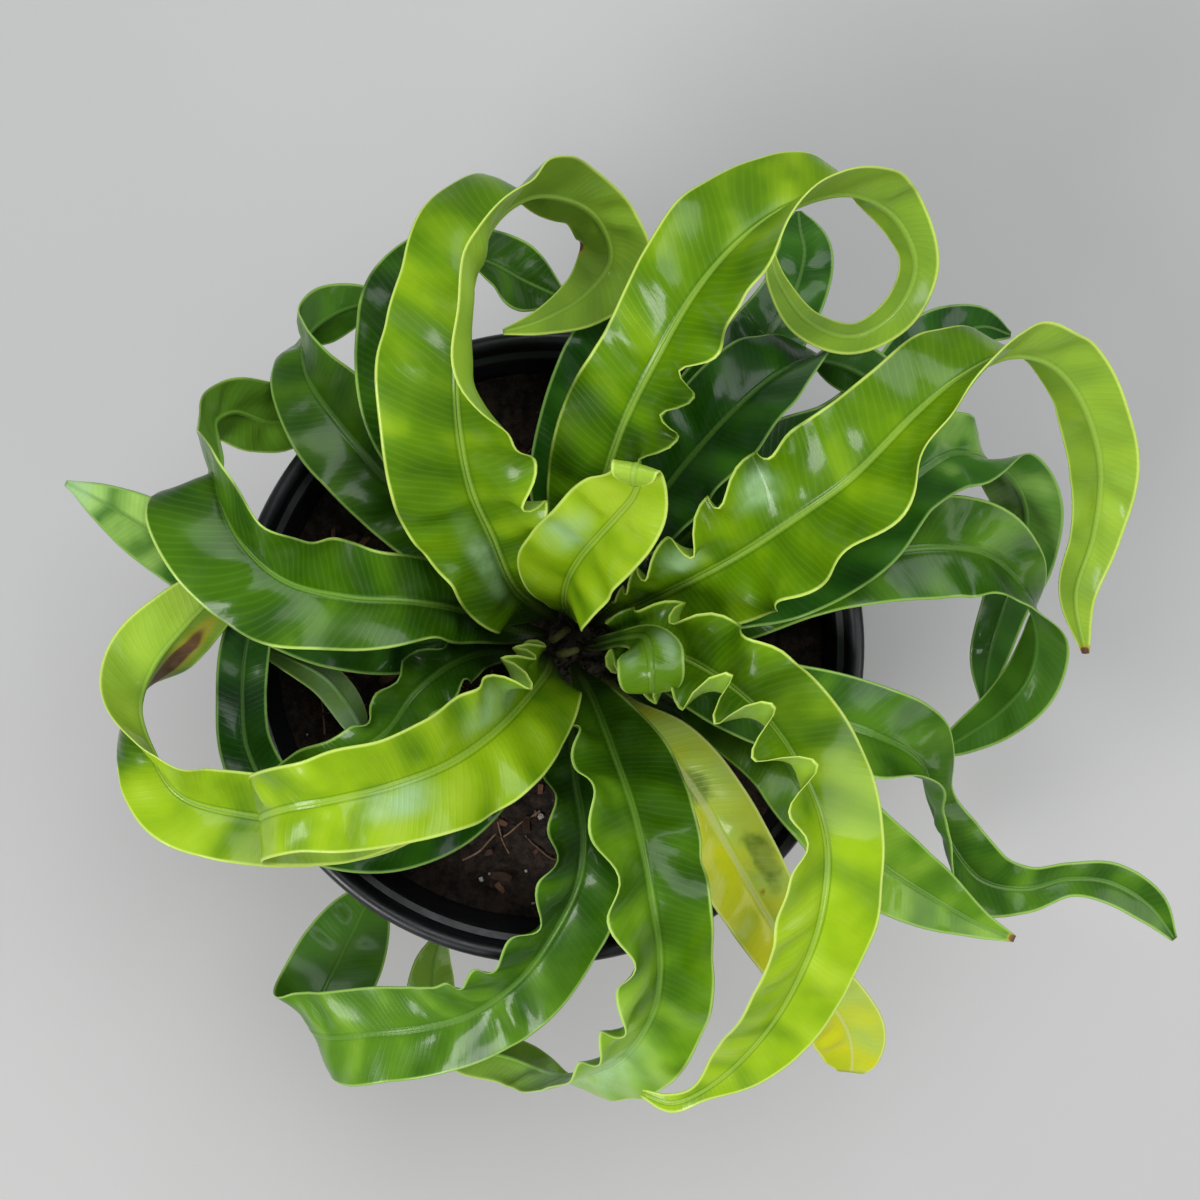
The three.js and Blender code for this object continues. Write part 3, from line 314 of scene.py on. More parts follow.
        [-92, 23, 133, 8.5, 12, 0, 56], [-105, 31.5, 128, 7.6, 8, 0, 54],
        [-115, 37.5, 123, 4.8, 5, 0, 58], [-122, 41.3, 119.5, 1.8, 2, 0, 62],
        [-124.8, 42.6, 118, 0.8, 0, 0, 62],
    ]],
]

# What the close view of a frond adds. Each margin has its ruffles, as [degrees, lean, length, start,
# end], and may be rolled over, as [degrees, start, end], where starts and ends are shares of the
# frond's run. Tones go from root to tip, from -1, deep, over 1, pale, to 2, lime; the dark tones near
# the root are partly the frond's own deeper green and partly painted shade of the crown's hollow.
# Halves darken or pale the left and the right half, from a share of the run on. Marks are [run, across,
# length, width, kind], where across goes from -1, the left margin, to 1, the right one. Sheen marks are
# painted sheen: pale patches that stand in for glossy reflections. A stipe factor above 1 keeps the dark
# of the stipe, with the painted shade at the frond's base, that many times as far.
LOOKS = {
    "north": {
        "left": [20, 4, 19, 0.05, 0.3],
        "right": [27, 8, 15.5, 0.22, 0.42],
        "rolled_right": [62, 0.45, 0.60],
        "tones": [-0.8, -0.45, -0.1, 0.15, 0.25, 0.1, -0.1, -0.2],
        "halves": [-0.1, 0.15, 0],
        "marks": [[0.86, -1.0, 4, 0.14, "dry"], [0.24, -0.3, 16, 0.2, "painted_sheen"]],
    },
    "northeast": {
        "right": [38, 18, 12, 0.22, 0.465],
        "tones": [-1.0, -0.9, -0.6, -0.2, 0.15, 0.2, 0.1, 0.1],
        "halves": [0.05, -0.05, 0],
    },
    "east": {
        "left": [42, 24, 14.5, 0.10, 0.42],
        "right": [18, 6, 20, 0.05, 0.5],
        "rolled_right": [58, 0.48, 0.60],
        "tones": [-0.4, 0.1, 0.1, -0.15, -0.2, 0.3, 0.6, 0.5],
        "halves": [-0.05, 0.1, 0],
        "marks": [
            [0.998, 0, 1.6, 1.2, "dry"],
            [0.25, -0.55, 7, 0.3, "painted_sheen"],
            [0.36, -0.6, 6, 0.25, "painted_sheen"],
        ],
    },
    "southeast": {
        "left": [42, 18, 14, 0.14, 0.40],
        "right": [54, 36, 14, 0.06, 0.56],
        "tones": [-1.0, -0.85, -0.45, 0.05, 0.6, 0.9, 0.85, 0.7],
        "halves": [0.0, -0.05, 0],
    },
    "south": {
        "right": [26, 12, 18, 0.10, 0.62],
        "left": [14, 4, 22, 0.15, 0.6],
        # The lime tones at the tail are partly painted light: the tail curls under in shade, and its
        # pale lime stands in for light through the leaf.
        "tones": [-0.9, -0.6, -0.3, 0.3, 1.2, 1.7, 2.2, 2.8],
        "halves": [-0.2, 0.35, 0],
        "marks": [[0.66, 0.1, 26, 0.8, "painted_sheen"]],
    },
    "southwest": {
        "right": [44, 26, 12, 0.05, 0.36],
        "left": [10, 0, 24, 0.1, 0.5],
        "tones": [-1.0, -0.3, 0.55, 0.8, 0.7, 0.5, 0.3],
        "halves": [0.15, -0.1, 0],
        "marks": [[0.34, 0.5, 12, 0.35, "painted_sheen"], [0.52, -0.3, 9, 0.3, "painted_sheen"]],
    },
    "west": {
        "left": [14, 0, 28, 0.1, 0.6],
        "right": [16, 6, 30, 0.1, 0.6],
        "halves": [0.1, -0.25, 0],
        "tones": [-1.0, -0.9, -0.7, -0.45, -0.35, -0.4, -0.6, -0.7],
        "marks": [[0.29, 1.0, 1.6, 0.07, "dry"]],
    },
    "young_rolled": {
        "tones": [-1.3, -0.6, 0.6, 1.0, 1.2, 1.3],
        "halves": [0.1, -0.1, 0],
        "marks": [[0.62, -0.55, 9, 0.4, "painted_sheen"]],
    },
    "young_curled": {
        "tones": [-1.4, -1.4, -1.2, -0.6, 0.9, 1.5],
        "marks": [[0.80, -0.6, 5, 0.3, "painted_sheen"], [0.82, 0.6, 5, 0.3, "painted_sheen"]],
        # The stipe factor stretches the dark of the stipe and the painted shade along this frond's long
        # stalk.
        "stipe": 2.1,
    },
    "low_northwest": {"right": [14, 4, 22, 0.1, 0.6], "tones": [-0.4, 0.1, 0.4, 0.3]},
    "low_north": {"tones": [-0.8, -0.6, -0.4, -0.4]},
    "low_north_narrow": {"tones": [-0.6, 0.0, 0.2]},
    "low_northeast": {"right": [16, 4, 20, 0.15, 0.6], "tones": [-0.6, -0.2, 0.0, 0.1]},
    "under_northeast": {"tones": [-0.4, 0.2, 0.6]},
    "under_east": {"tones": [-0.5, 0.0, 0.1]},
    "low_east": {"tones": [-0.8, -0.3, 0.0, 0.3, 1.1, 1.5, 0.2, 0.0]},
    "low_east_broad": {"tones": [-0.5, 0.0, 0.2, 0.3, 0.1], "halves": [0.15, -0.15, 0]},
    "low_southeast_tail": {
        "rolled_right": [70, 0.44, 0.64],
        "tones": [-0.5, 0.0, 0.2, 0.1, -0.1],
    },
    "under_southeast": {
        "tones": [-0.4, 0.5, 1.1, 1.2, 1.1],
        "marks": [[0.998, 0, 1.6, 1.2, "dry"]],
    },
    "old_yellow": {
        "tones": [-0.5, 0.1, 0.1, 0.2, -0.3],
        "halves": [0.75, -0.1, 0],
        "marks": [
            [0.34, 0.0, 6, 0.4, "green"],
            [0.50, -0.6, 9, 0.3, "green"],
            [0.62, -0.5, 6, 0.3, "green"],
            [0.72, -0.7, 5, 0.3, "green"],
            [0.40, 0.55, 0.9, 0.07, "dry"],
            [0.55, -0.2, 0.8, 0.05, "dry"],
            [0.83, 0.4, 0.8, 0.07, "dry"],
        ],
    },
    "low_south": {
        "right": [26, 12, 16, 0.12, 0.5],
        "tones": [-0.8, -0.5, -0.1, 0.4, 0.7, 0.8, 0.1, 0.0],
    },
    "under_southwest": {"tones": [-0.5, 0.0, 0.2]},
    "southwest_loop": {
        "tones": [-0.9, -0.5, 0.0, 0.5, 0.7, 1.1, 1.1, 0.5],
        # The darkened left half, from 0.70 of the run on, is painted shade: the loop's inner half, which
        # lies in shade.
        "halves": [-2.0, 0.2, 0.70],
        "marks": [[0.84, -0.5, 13, 0.26, "dry"]],
    },
    "under_west_narrow": {
        "tones": [-0.3, 0.2, 1.0, 1.6, 1.4],
        "marks": [[0.62, 0.0, 34, 2.0, "painted_sheen"]],
    },
    "wavy_west": {
        "left": [38, 14, 13, 0.1, 0.75],
        "right": [40, 18, 12, 0.1, 0.75],
        "tones": [-0.8, -0.3, 0.0, 0.1],
    },
    "under_west": {"tones": [-0.5, 0.0, 0.4, 0.8, 1.6, 2.0], "marks": [[1.0, 0.0, 13, 1.6, "painted_sheen"]]},
}


def smoothstep(value, low, high):
    """0 below the low value and 1 above the high one, with a soft rise between them."""
    share = np.clip((value - low) / (high - low), 0, 1)
    return share * share * (3 - 2 * share)


def place(u, v, height):
    """A point drawn at the rim's level, put at its real height along the line from the eye."""
    spread = (EYE_HEIGHT - height) / (EYE_HEIGHT - POT_HEIGHT)
    return [EYE_X + (u - EYE_X) * spread, EYE_Y + (v - EYE_Y) * spread, height]


def guide_points(ring, bearing, route):
    """The guide points of a frond from its root to its tip: place, half width, fold, tilt and side."""
    side = bearing - 90
    side += 360 * round((route[0][6] - side) / 360)
    out_x = math.cos(math.radians(bearing))
    out_y = math.sin(math.radians(bearing))
    points = []
    for reach, height in ((ring - 0.4, ROOT_HEIGHT), (ring + 0.6, STIPE_TOP)):
        x, y = CROWN_X + out_x * reach, CROWN_Y + out_y * reach
        points.append([x, y, height, STIPE_HALF_WIDTH, 0, 0, side])
    for u, v, height, *shape in route:
        points.append(place(u, v, height) + shape)
    return np.array(points, float)


def values_at(points, along):
    """The guide points' values at each place along the smooth curve through them."""
    padded = np.vstack([2 * points[0] - points[1], points, 2 * points[-1] - points[-2]])
    span = np.clip(np.floor(along).astype(int), 0, len(points) - 2)
    t = (along - span)[:, None]
    a, b, c, d = (padded[span + k] for k in range(4))
    return b + 0.5 * t * ((c - a) + t * (2 * a - 5 * b + 4 * c - d) + t * t * (3 * b - 3 * c + d - a))


def stations_along(points, step):
    """Evenly spaced stations: their values, and their run from the root."""
    fine = 16
    samples = np.arange((len(points) - 1) * fine + 1) / fine
    places = values_at(points, samples)[:, :3]
    run = np.concatenate([[0], np.cumsum(np.linalg.norm(np.diff(places, axis=0), axis=1))])
    count = round(run[-1] / step)
    goals = run[-1] * np.arange(count + 1) / count
    return values_at(points, np.interp(goals, run, samples)), goals


def unit(vectors):
    """The vectors, each at length 1."""
    return vectors / np.linalg.norm(vectors, axis=1, keepdims=True)


def across_blade(values, places):
    """At each station, the directions ahead, to the right margin, and out of the upper face."""
    ahead = unit(np.gradient(places, axis=0))
    side = np.radians(values[:, 6])
    right = np.stack([np.cos(side), np.sin(side), np.zeros(len(side))], axis=1)
    right = unit(right - (right * ahead).sum(1, keepdims=True) * ahead)
    up = np.cross(right, ahead)
    turn = np.radians(values[:, 5])[:, None]
    return ahead, right * np.cos(turn) + up * np.sin(turn), up * np.cos(turn) - right * np.sin(turn)


def wander(run, seed, length):
    """A slow smooth wobble along a frond, from about -1 to 1, that differs from frond to frond."""
    return (
        0.6 * np.sin(2 * math.pi * run / length + 1.7 * seed)
        + 0.4 * np.sin(2 * math.pi * run / (length * 0.43) + 2.9 * seed + 1)
    )


# Places of the columns on each half of a blade: first in widths of the midrib, then in shares of
# what is left to the margin.
RIB_COLUMNS = np.array([0, 0.4, 0.75, 1.0, 1.3, 1.7])
BLADE_COLUMNS = np.array([0.1, 0.2, 0.3, 0.4, 0.5, 0.6, 0.7, 0.79, 0.87, 0.93, 0.975, 1.0])


class Blade:
    """The shape of one frond, station by station."""

    def __init__(self, number, ring, bearing, phase, calm_end, route, looks):
        self.seed = number
        self.values, self.run = stations_along(guide_points(ring, bearing, route), STATION_STEP)
        self.length = self.run[-1]
        self.to_tip = self.length - self.run
        self.places = self.values[:, :3]
        self.ahead, self.right, self.up = across_blade(self.values, self.places)
        self.past_stipe = smoothstep(self.run, STIPE_LENGTH * 0.5, STIPE_LENGTH * 1.6)
        self.calm = smoothstep(self.to_tip, calm_end * 0.25, calm_end * 0.9)
        self.phase = math.radians(phase)
        self.looks = looks
        rib_widths = [1.0, RIB_WIDTH_AT_BASE, RIB_WIDTH_AT_TIP]
        self.rib = np.interp(self.run / self.length, [0, 0.15, 1], rib_widths)

    def window(self, start, end):
        """1 between two shares of the run, with soft ends, and 0 outside."""
        along = self.run / self.length
        begun = smoothstep(along, start - 0.04, start + 0.04)
        return begun * (1 - smoothstep(along, end - 0.06, end + 0.06))

    def slope(self, hand, run, out, share):
        """Slope across a half: its fold, ruffles that grow to the margin, and a rolled margin."""
        name = "left" if hand < 0 else "right"
        degrees, lean, length, start, end = self.looks.get(name, (0, 0, CALM_WAVE_LENGTH, 0, 0))
        roll, roll_start, roll_end = self.looks.get("rolled_" + name, (0, 0, 0))
        ruffled = self.window(start, end)[:, None]
        rolled = roll * self.window(roll_start, roll_end)[:, None]
        swing = run - 0.2 * out + 2.0 * wander(run, self.seed + 0.4 * hand, 6.3 * length)
        swing = 2 * math.pi * swing / length + self.phase + (2 if hand < 0 else 0)
        slow = 2 * math.pi * (run + 9 * wander(run, self.seed + hand, 83)) / CALM_WAVE_LENGTH + self.seed
        strength = 1 + 0.35 * wander(run, self.seed + 5 + hand, 3.7 * length)
        grown = smoothstep(share, 0.12, 1.0) * (self.past_stipe * self.calm)[:, None]
        fold = np.radians(self.values[:, 4] * self.past_stipe)[:, None] * (1.3 - 0.6 * share)
        waves = CALM_WAVE_DEGREES * np.sin(slow) + ruffled * strength * (degrees * np.sin(swing) + lean)
        return fold + np.radians(waves) * grown + np.radians(rolled) * smoothstep(share, 0.25, 0.95)

    def puckers(self, hand, run, out, share, reach):
        """Heights of the soft puckers between the side veins."""
        band = run - VEIN_SLANT * out + 4.5 * wander(run, self.seed + 9 + hand, 43)
        band = 2 * math.pi * band / PUCKER_LENGTH + (0.9 if hand < 0 else 0)
        window = smoothstep(share, 0.06, 0.4) * (1 - 0.75 * smoothstep(share, 0.65, 1.0))
        height = PUCKER_HEIGHT * np.sin(band) * window * smoothstep(reach, 3, 9)[:, None]
        return height * self.past_stipe[:, None] * (1 + 0.8 * wander(run, self.seed + 3, 57))

    def half(self, hand):
        """One half of the blade, by station and column: places, normals, and measures for the finish."""
        reach = np.maximum(self.values[:, 3], 0.5)
        rib = np.minimum(self.rib, reach * 0.3)
        inner = rib[:, None] * RIB_COLUMNS
        rest = (reach - inner[:, -1])[:, None] * BLADE_COLUMNS
        out = np.hstack([inner, inner[:, -1:] + rest])
        share = out / reach[:, None]
        run = self.run[:, None]
        slope = self.slope(hand, run, out, share)
        step = np.diff(out, axis=1)
        middle_slope = (slope[:, 1:] + slope[:, :-1]) / 2
        start = np.zeros((len(reach), 1))
        x = np.hstack([start, np.cumsum(np.cos(middle_slope) * step, axis=1)])
        y = np.hstack([start, np.cumsum(np.sin(middle_slope) * step, axis=1)])
        height = self.puckers(hand, run, out, share, reach)
        x = x - np.sin(slope) * height
        y = y + np.cos(slope) * height

        right = self.right[:, None, :] * hand
        up = self.up[:, None, :]
        places = self.places[:, None, :] + right * x[:, :, None] + up * y[:, :, None]
        normals = up * np.cos(slope)[:, :, None] - right * np.sin(slope)[:, :, None]
        outward = right[:, 0] * np.cos(slope[:, -1:]) + up[:, 0] * np.sin(slope[:, -1:])
        return {
            "places": places,
            "normals": normals,
            "outward": outward,
            "share": share * hand,
            "rib": out / rib[:, None],
            "edge": reach[:, None] - out,
            "vein": run - VEIN_SLANT * out + 0.8 * wander(run, self.seed + 2, 23),
        }

    def thickness(self, rib, share):
        """Heights of the upper and lower faces over the middle of the blade."""
        tapered = smoothstep(self.to_tip, 0, 30)[:, None]
        stem = STIPE_THICKNESS / 2 * np.sqrt(np.clip(1 - 0.8 * share**2, 0, 1))
        sheet = (BLADE_THICKNESS + (MARGIN_THICKNESS - BLADE_THICKNESS) * np.abs(share)) / 2
        ridge = np.clip(1 - rib**2, 0, None)
        groove = np.exp(-(((rib - 1.35) / 0.3) ** 2))
        shrink = (0.35 + 0.65 * tapered) * (self.rib[:, None] / RIB_WIDTH_AT_BASE)
        above = sheet + (RIB_ABOVE * ridge - 0.14 * groove) * shrink
        below = sheet + RIB_BELOW * np.sqrt(ridge) * shrink
        blade = self.past_stipe[:, None]
        return stem * (1 - blade) + above * blade, stem * (1 - blade) + below * blade


def marks_of(kind, looks, blade, run, across):
    """How strongly the marks of one kind show at each corner of a frond."""
    mask = np.zeros_like(across)
    for at, middle, length, width, its_kind in looks.get("marks", []):
        if its_kind == kind:
            far = ((run - at * blade.length) / length) ** 2 + ((across - middle) / width) ** 2
            mask = np.maximum(mask, 1.6 * np.exp(-far))
    return mask


def tone_of(looks, blade, across):
    """The broad tone at each corner of a frond: along its run, where the dark near the root is partly
    painted shade of the crown's hollow, and by its halves.
    """
    tones = looks["tones"]
    tone = np.interp(blade.run / blade.length, np.linspace(0, 1, len(tones)), tones)
    left_tone, right_tone, start = looks.get("halves", (0, 0, 0))
    halves_tone = left_tone + (right_tone - left_tone) * smoothstep(across, -0.25, 0.25)
    return tone[:, None] + halves_tone * blade.window(start, 1.2)[:, None]


def frond_mesh(name, blade, looks):
    """A closed thin body for a frond, with the measures that its finish reads."""
    halves = [blade.half(-1), blade.half(1)]

    def whole(key):
        return np.concatenate([halves[0][key][:, :0:-1], halves[1][key]], axis=1)

    places, normals, share, rib, edge = (whole(k) for k in ("places", "normals", "share", "rib", "edge"))
    above, below = blade.thickness(rib, share)
    top = places + normals * above[:, :, None]
    bottom = places - normals * below[:, :, None]
    nose = (BEAD * blade.past_stipe * np.clip(blade.values[:, 3] / 3, 0.2, 1))[:, None]
    right_nose = places[:, -1] + halves[1]["outward"] * nose
    left_nose = places[:, 0] + halves[0]["outward"] * nose
    rings = np.concatenate([top, right_nose[:, None], bottom[:, ::-1], left_nose[:, None]], axis=1)

    def ring_of(values, right_value, left_value):
        ends = [np.broadcast_to(end, (len(blade.run), 1)) for end in (right_value, left_value)]
        return np.concatenate([values, ends[0], values[:, ::-1], ends[1]], axis=1)

    columns = share.shape[1]
    across = ring_of(share, 1.0, -1.0)
    vein = whole("vein")
    run = np.tile(blade.run[:, None], (1, 2 * columns + 2))
    measures = {
        "rib": ring_of(rib, 9.0, 9.0),
        "edge": ring_of(edge, 0.0, 0.0),
        "vein": ring_of(vein, vein[:, -1:], vein[:, :1]),
        "under": np.tile([0.0] * columns + [0.5] + [1.0] * columns + [0.5], (len(blade.run), 1)),
        "tone": tone_of(looks, blade, across),
        # The run, divided by the stipe factor, that places the dark stipe and the painted shade at the
        # base.
        "stipe": run / looks.get("stipe", 1),
    }
    # Dry and green marks are the leaf's own colour; sheen marks are painted sheen.
    for kind in ("dry", "green", "painted_sheen"):
        measures[kind] = marks_of(kind, looks, blade, run, across)
    return closed_tube(name, rings, columns, measures)


def add_measure(mesh, name, values):
    """Keeps one number for each corner of a mesh, for its material to read."""
    mesh.attributes.new(name, "FLOAT", "POINT").data.foreach_set("value", values)


def closed_tube(name, rings, columns, measures):
    """A mesh through rings of corners that run over the upper face and back under the lower one."""
    count, around = rings.shape[:2]
    first = np.arange(count - 1)[:, None] * around
    here = first + np.arange(around)
    there = first + (np.arange(around) + 1) % around
    faces = np.stack([here, there, there + around, here + around], axis=2).reshape(-1, 4).tolist()
    end = (count - 1) * around
    for j in range(columns - 1):
        mate = around - 2 - j
        faces.append([j, mate, mate - 1, j + 1])
        faces.append([end + j, end + j + 1, end + mate - 1, end + mate])
    for low, nose, high in ((columns - 1, columns, columns + 1), (around - 2, around - 1, 0)):
        faces.append([low, high, nose])
        faces.append([end + low, end + nose, end + high])
    mesh = bpy.data.meshes.new(name)
    mesh.from_pydata((rings.reshape(-1, 3) * MM).tolist(), [], faces)
    for key, values in measures.items():
        add_measure(mesh, key, values.astype(np.float32).ravel())
    mesh.shade_smooth()
    return mesh


def add_object(name, data):
    """A new object in the scene."""
    made = bpy.data.objects.new(name, data)
    bpy.context.scene.collection.objects.link(made)
    return made


def show(mesh, node, material):
    """Puts a mesh in the scene in place of a node of the frame."""
    piece = add_object(mesh.name, mesh)
    mesh.materials.clear()
    mesh.materials.append(material)
    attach(piece, "root")
    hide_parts(node)


def lathe(profile, segments, centres=None):
    """Corners and faces of a body of revolution; the profile starts and ends on the axis."""
    corners = []
    faces = []
    turns = 2 * math.pi * np.arange(segments) / segments
    rings = []
    for i, (radius, height) in enumerate(profile):
        x, y = centres[i] if centres else (0, 0)
        rings.append(len(corners))
        if radius == 0:
            corners.append((x, y, height))
        else:
            corners.extend((x + radius * math.cos(a), y + radius * math.sin(a), height) for a in turns)
    for i in range(len(profile) - 1):
        here, there = rings[i], rings[i + 1]
        for k in range(segments):
            after = (k + 1) % segments
            if profile[i][0] == 0:
                faces.append((here, there + after, there + k))
            elif profile[i + 1][0] == 0:
                faces.append((here + k, here + after, there))
            else:
                faces.append((here + k, here + after, there + after, there + k))
    return np.array(corners, float), faces


def wall_radius(height):
    """Radius of the pot's outer wall at a height."""
    return POT_BASE_RADIUS + (POT_RIM_RADIUS - RIM_LIP_THICKNESS - POT_BASE_RADIUS) * height / POT_HEIGHT


def drain_slots_mesh():
    """The blocks that are cut out of the pot's foot for its drain slots."""
    cutter = bmesh.new()
    for i in range(DRAIN_SLOTS):
        turn = Matrix.Rotation(2 * math.pi * (i + 0.5) / DRAIN_SLOTS, 3, "Z")
        for vert in bmesh.ops.create_cube(cutter, size=1)["verts"]:
            x = POT_BASE_RADIUS + vert.co.x * DRAIN_CUT_DEPTH
            y = vert.co.y * DRAIN_SLOT_WIDTH
            z = POT_FLOOR + DRAIN_SLOT_SILL + (vert.co.z + 0.5) * DRAIN_SLOT_HEIGHT
            vert.co = turn @ Vector((x, y, z)) * MM
    mesh = bpy.data.meshes.new("drain_slots")
    cutter.to_mesh(mesh)
    cutter.free()
    return mesh


def pot_profile():
    """The pot's outline, from the middle of its foot up the outside and back down the inside."""
    ledge = POT_HEIGHT - RIM_LIP_DEPTH

    def inside(height):
        return wall_radius(height) - POT_WALL

    roll = []
    for turn in np.linspace(-20, 200, 15):
        angle = math.radians(turn)
        reach = POT_RIM_RADIUS - RIM_ROLL + RIM_ROLL * math.cos(angle)
        roll.append((reach, POT_HEIGHT - RIM_ROLL + RIM_ROLL * math.sin(angle)))
    return [
        (0, 1.2),
        (POT_BASE_RADIUS - 9, 1.2),
        (POT_BASE_RADIUS - 8.4, 0.3),
        (POT_BASE_RADIUS - 8, 0),
        (POT_BASE_RADIUS - 1.8, 0),
        (POT_BASE_RADIUS - 0.5, 0.5),
        (POT_BASE_RADIUS, 1.6),
        (wall_radius(18), 18),
        (wall_radius(19) + 0.3, 19.2),
        (wall_radius(60) + 0.3, 60),
        (wall_radius(ledge - 14) + 0.3, ledge - 14),
        (wall_radius(ledge - 13), ledge - 12.6),
        (wall_radius(ledge - 3), ledge - 3),
        (POT_RIM_RADIUS - 1.4, ledge - 0.4),
        (POT_RIM_RADIUS - 0.6, ledge + 0.4),
        *roll,
        (POT_RIM_RADIUS - 4.3, ledge + 2.4),
        (POT_RIM_RADIUS - 4.7, ledge + 1.2),
        (inside(ledge) - 0.1, ledge + 0.6),
        (inside(ledge) - 0.5, ledge - 0.2),
        (inside(ledge - 3), ledge - 2.2),
        (inside(ledge - 6), ledge - 6),
        (inside(60), 60),
        (inside(POT_FLOOR + 4), POT_FLOOR + 4),
        (inside(POT_FLOOR) - 3, POT_FLOOR),
        (0, POT_FLOOR),
    ]


def pot_mesh():
    """The pot: a thin tapered wall with a rolled lip, an inner ledge, a foot ring and drain slots."""
    corners, faces = lathe(pot_profile(), POT_SEGMENTS)
    mesh = bpy.data.meshes.new("nursery_pot")
    mesh.from_pydata((corners * MM).tolist(), [], faces)
    body = add_object("nursery_pot_body", mesh)
    slots = add_object("drain_slots", drain_slots_mesh())
    cut = body.modifiers.new("slots", "BOOLEAN")
    cut.operation = "DIFFERENCE"
    cut.solver = "EXACT"
    cut.object = slots
    bpy.context.view_layer.update()
    shape = bpy.data.meshes.new_from_object(body.evaluated_get(bpy.context.evaluated_depsgraph_get()))
    bpy.data.objects.remove(body)
    bpy.data.objects.remove(slots)
    shape.name = "nursery_pot"
    shape.shade_smooth()
    shape.set_sharp_from_angle(angle=math.radians(POT_SHARP_EDGE))
    return shape


def soil_swell(x, y):
    """How much the soil's top stands above or below its level at a place."""
    return SOIL_SWELL * (
        0.5 * np.sin(x * 0.11 + 1.3) * np.cos(y * 0.13)
        + 0.3 * np.sin(x * 0.31 - y * 0.27)
        + 0.2 * np.cos(x * 0.19 + y * 0.37 + 0.6)
    )


def crumbs(x, y):
    """Fine lumps of the potting mix, in millimetres."""
    point = Vector((x * 0.16, y * 0.16, 0.3))
    return 1.5 * noise.turbulence(point, 4, False) - 1.0


# The kinds of body in the soil and in the crown, which their materials tell apart.
BED, BARK, GRAIN, FIBRE = range(4)
STOCK, SCALE, CROZIER = range(3)


class Heap:
    """Corners, faces and finish of many small bodies that become one mesh."""

    def __init__(self):
        self.corners = []
        self.faces = []
        self.shade = []
        self.kind = []

    def add(self, corners, faces, shade, kind):
        first = len(self.corners)
        self.corners.extend(tuple(c) for c in corners)
        self.faces.extend(tuple(first + i for i in face) for face in faces)
        self.shade.extend([shade] * len(corners))
        self.kind.extend([kind] * len(corners))

    def mesh(self, name):
        mesh = bpy.data.meshes.new(name)
        mesh.from_pydata([[c * MM for c in corner] for corner in self.corners], [], self.faces)
        add_measure(mesh, "shade", self.shade)
        add_measure(mesh, "kind", self.kind)
        mesh.shade_smooth()
        mesh.set_sharp_from_angle(angle=math.radians(40))
        return mesh


def hull(points):
    """Corners and faces of the convex hull of some points."""
    made = bmesh.new()
    for point in points:
        made.verts.new(point)
    found = bmesh.ops.convex_hull(made, input=made.verts)
    loose = [v for v in found["geom_interior"] if isinstance(v, bmesh.types.BMVert)]
    bmesh.ops.delete(made, geom=loose, context="VERTS")
    made.verts.index_update()
    corners = [tuple(v.co) for v in made.verts]
    faces = [tuple(v.index for v in face.verts) for face in made.faces]
    made.free()
    return corners, faces


def chip(random, length, width, depth, at, bearing, tilt):
    """A splinter of bark: an uneven block, turned to its bearing and tilted."""
    points = []
    for x in (-1, -0.35, 0.4, 1):
        for y in (-1, 1):
            for z in (-1, 1):
                taper = 1 - 0.45 * abs(x) * random.random()
                points.append(
                    (
                        x * length / 2 * random.uniform(0.85, 1),
                        y * width / 2 * taper * random.uniform(0.75, 1),
                        z * depth / 2 * taper * random.uniform(0.7, 1),
                    )
                )
    corners, faces = hull(points)
    turn = Matrix.Rotation(bearing, 3, "Z") @ Matrix.Rotation(tilt, 3, "Y")
    return [Vector(at) + turn @ Vector(c) for c in corners], faces


def tube(path, radii, sides):
    """A closed tube along a path."""
    corners = []
    faces = []
    count = len(path)
    for i, point in enumerate(path):
        ahead = (path[min(i + 1, count - 1)] - path[max(i - 1, 0)]).normalized()
        right = ahead.cross(Vector((0.13, 0.21, 0.97))).normalized()
        up = right.cross(ahead)
        for k in range(sides):
            angle = 2 * math.pi * k / sides
            corners.append(point + (right * math.cos(angle) + up * math.sin(angle)) * radii[i])
    for i in range(count - 1):
        for k in range(sides):
            a = i * sides + k
            b = i * sides + (k + 1) % sides
            faces.append((a, b, b + sides, a + sides))
    faces.append(tuple(range(sides))[::-1])
    faces.append(tuple(range((count - 1) * sides, count * sides)))
    return corners, faces


def soil_radius(height):
    """Radius of the soil at a height, with a little play to the pot's sloping wall."""
    return wall_radius(height) - (POT_WALL + CLEARANCE / 0.9)


def soil_top(x, y):
    """Height of the soil's lumpy top at a place."""
    return SOIL_TOP + float(soil_swell(x, y)) + crumbs(x, y)


def soil_bed():
    """Corners and faces of the bed: it fills the pot, with a lumpy top and a pocket for the crown."""
    foot = POT_FLOOR + CLEARANCE
    knee = foot + SOIL_FOOT_SLOPE
    profile = [(0, foot), (soil_radius(foot) - 3.4, foot), (soil_radius(knee), knee)]
    profile += [(soil_radius(50), 50), (soil_radius(SOIL_TOP - 4), SOIL_TOP - 4)]
    centres = [(0, 0)] * len(profile)
    outer = soil_radius(SOIL_TOP)
    inner = CROWN_RADIUS + CLEARANCE
    for i in range(SOIL_RINGS + 1):
        share = i / SOIL_RINGS
        profile.append((outer + (inner - outer) * share, SOIL_TOP))
        centres.append((CROWN_X * share, CROWN_Y * share))
    profile += [(inner, 98), (inner, CROWN_FOOT - CLEARANCE), (0, CROWN_FOOT - CLEARANCE)]
    centres += [(CROWN_X, CROWN_Y)] * 3
    corners, faces = lathe(profile, SOIL_SEGMENTS, centres)
    for corner in corners:
        if corner[2] == SOIL_TOP:
            x, y = corner[0], corner[1]
            corner[2] += soil_swell(x, y) + crumbs(x, y)
    return corners, faces


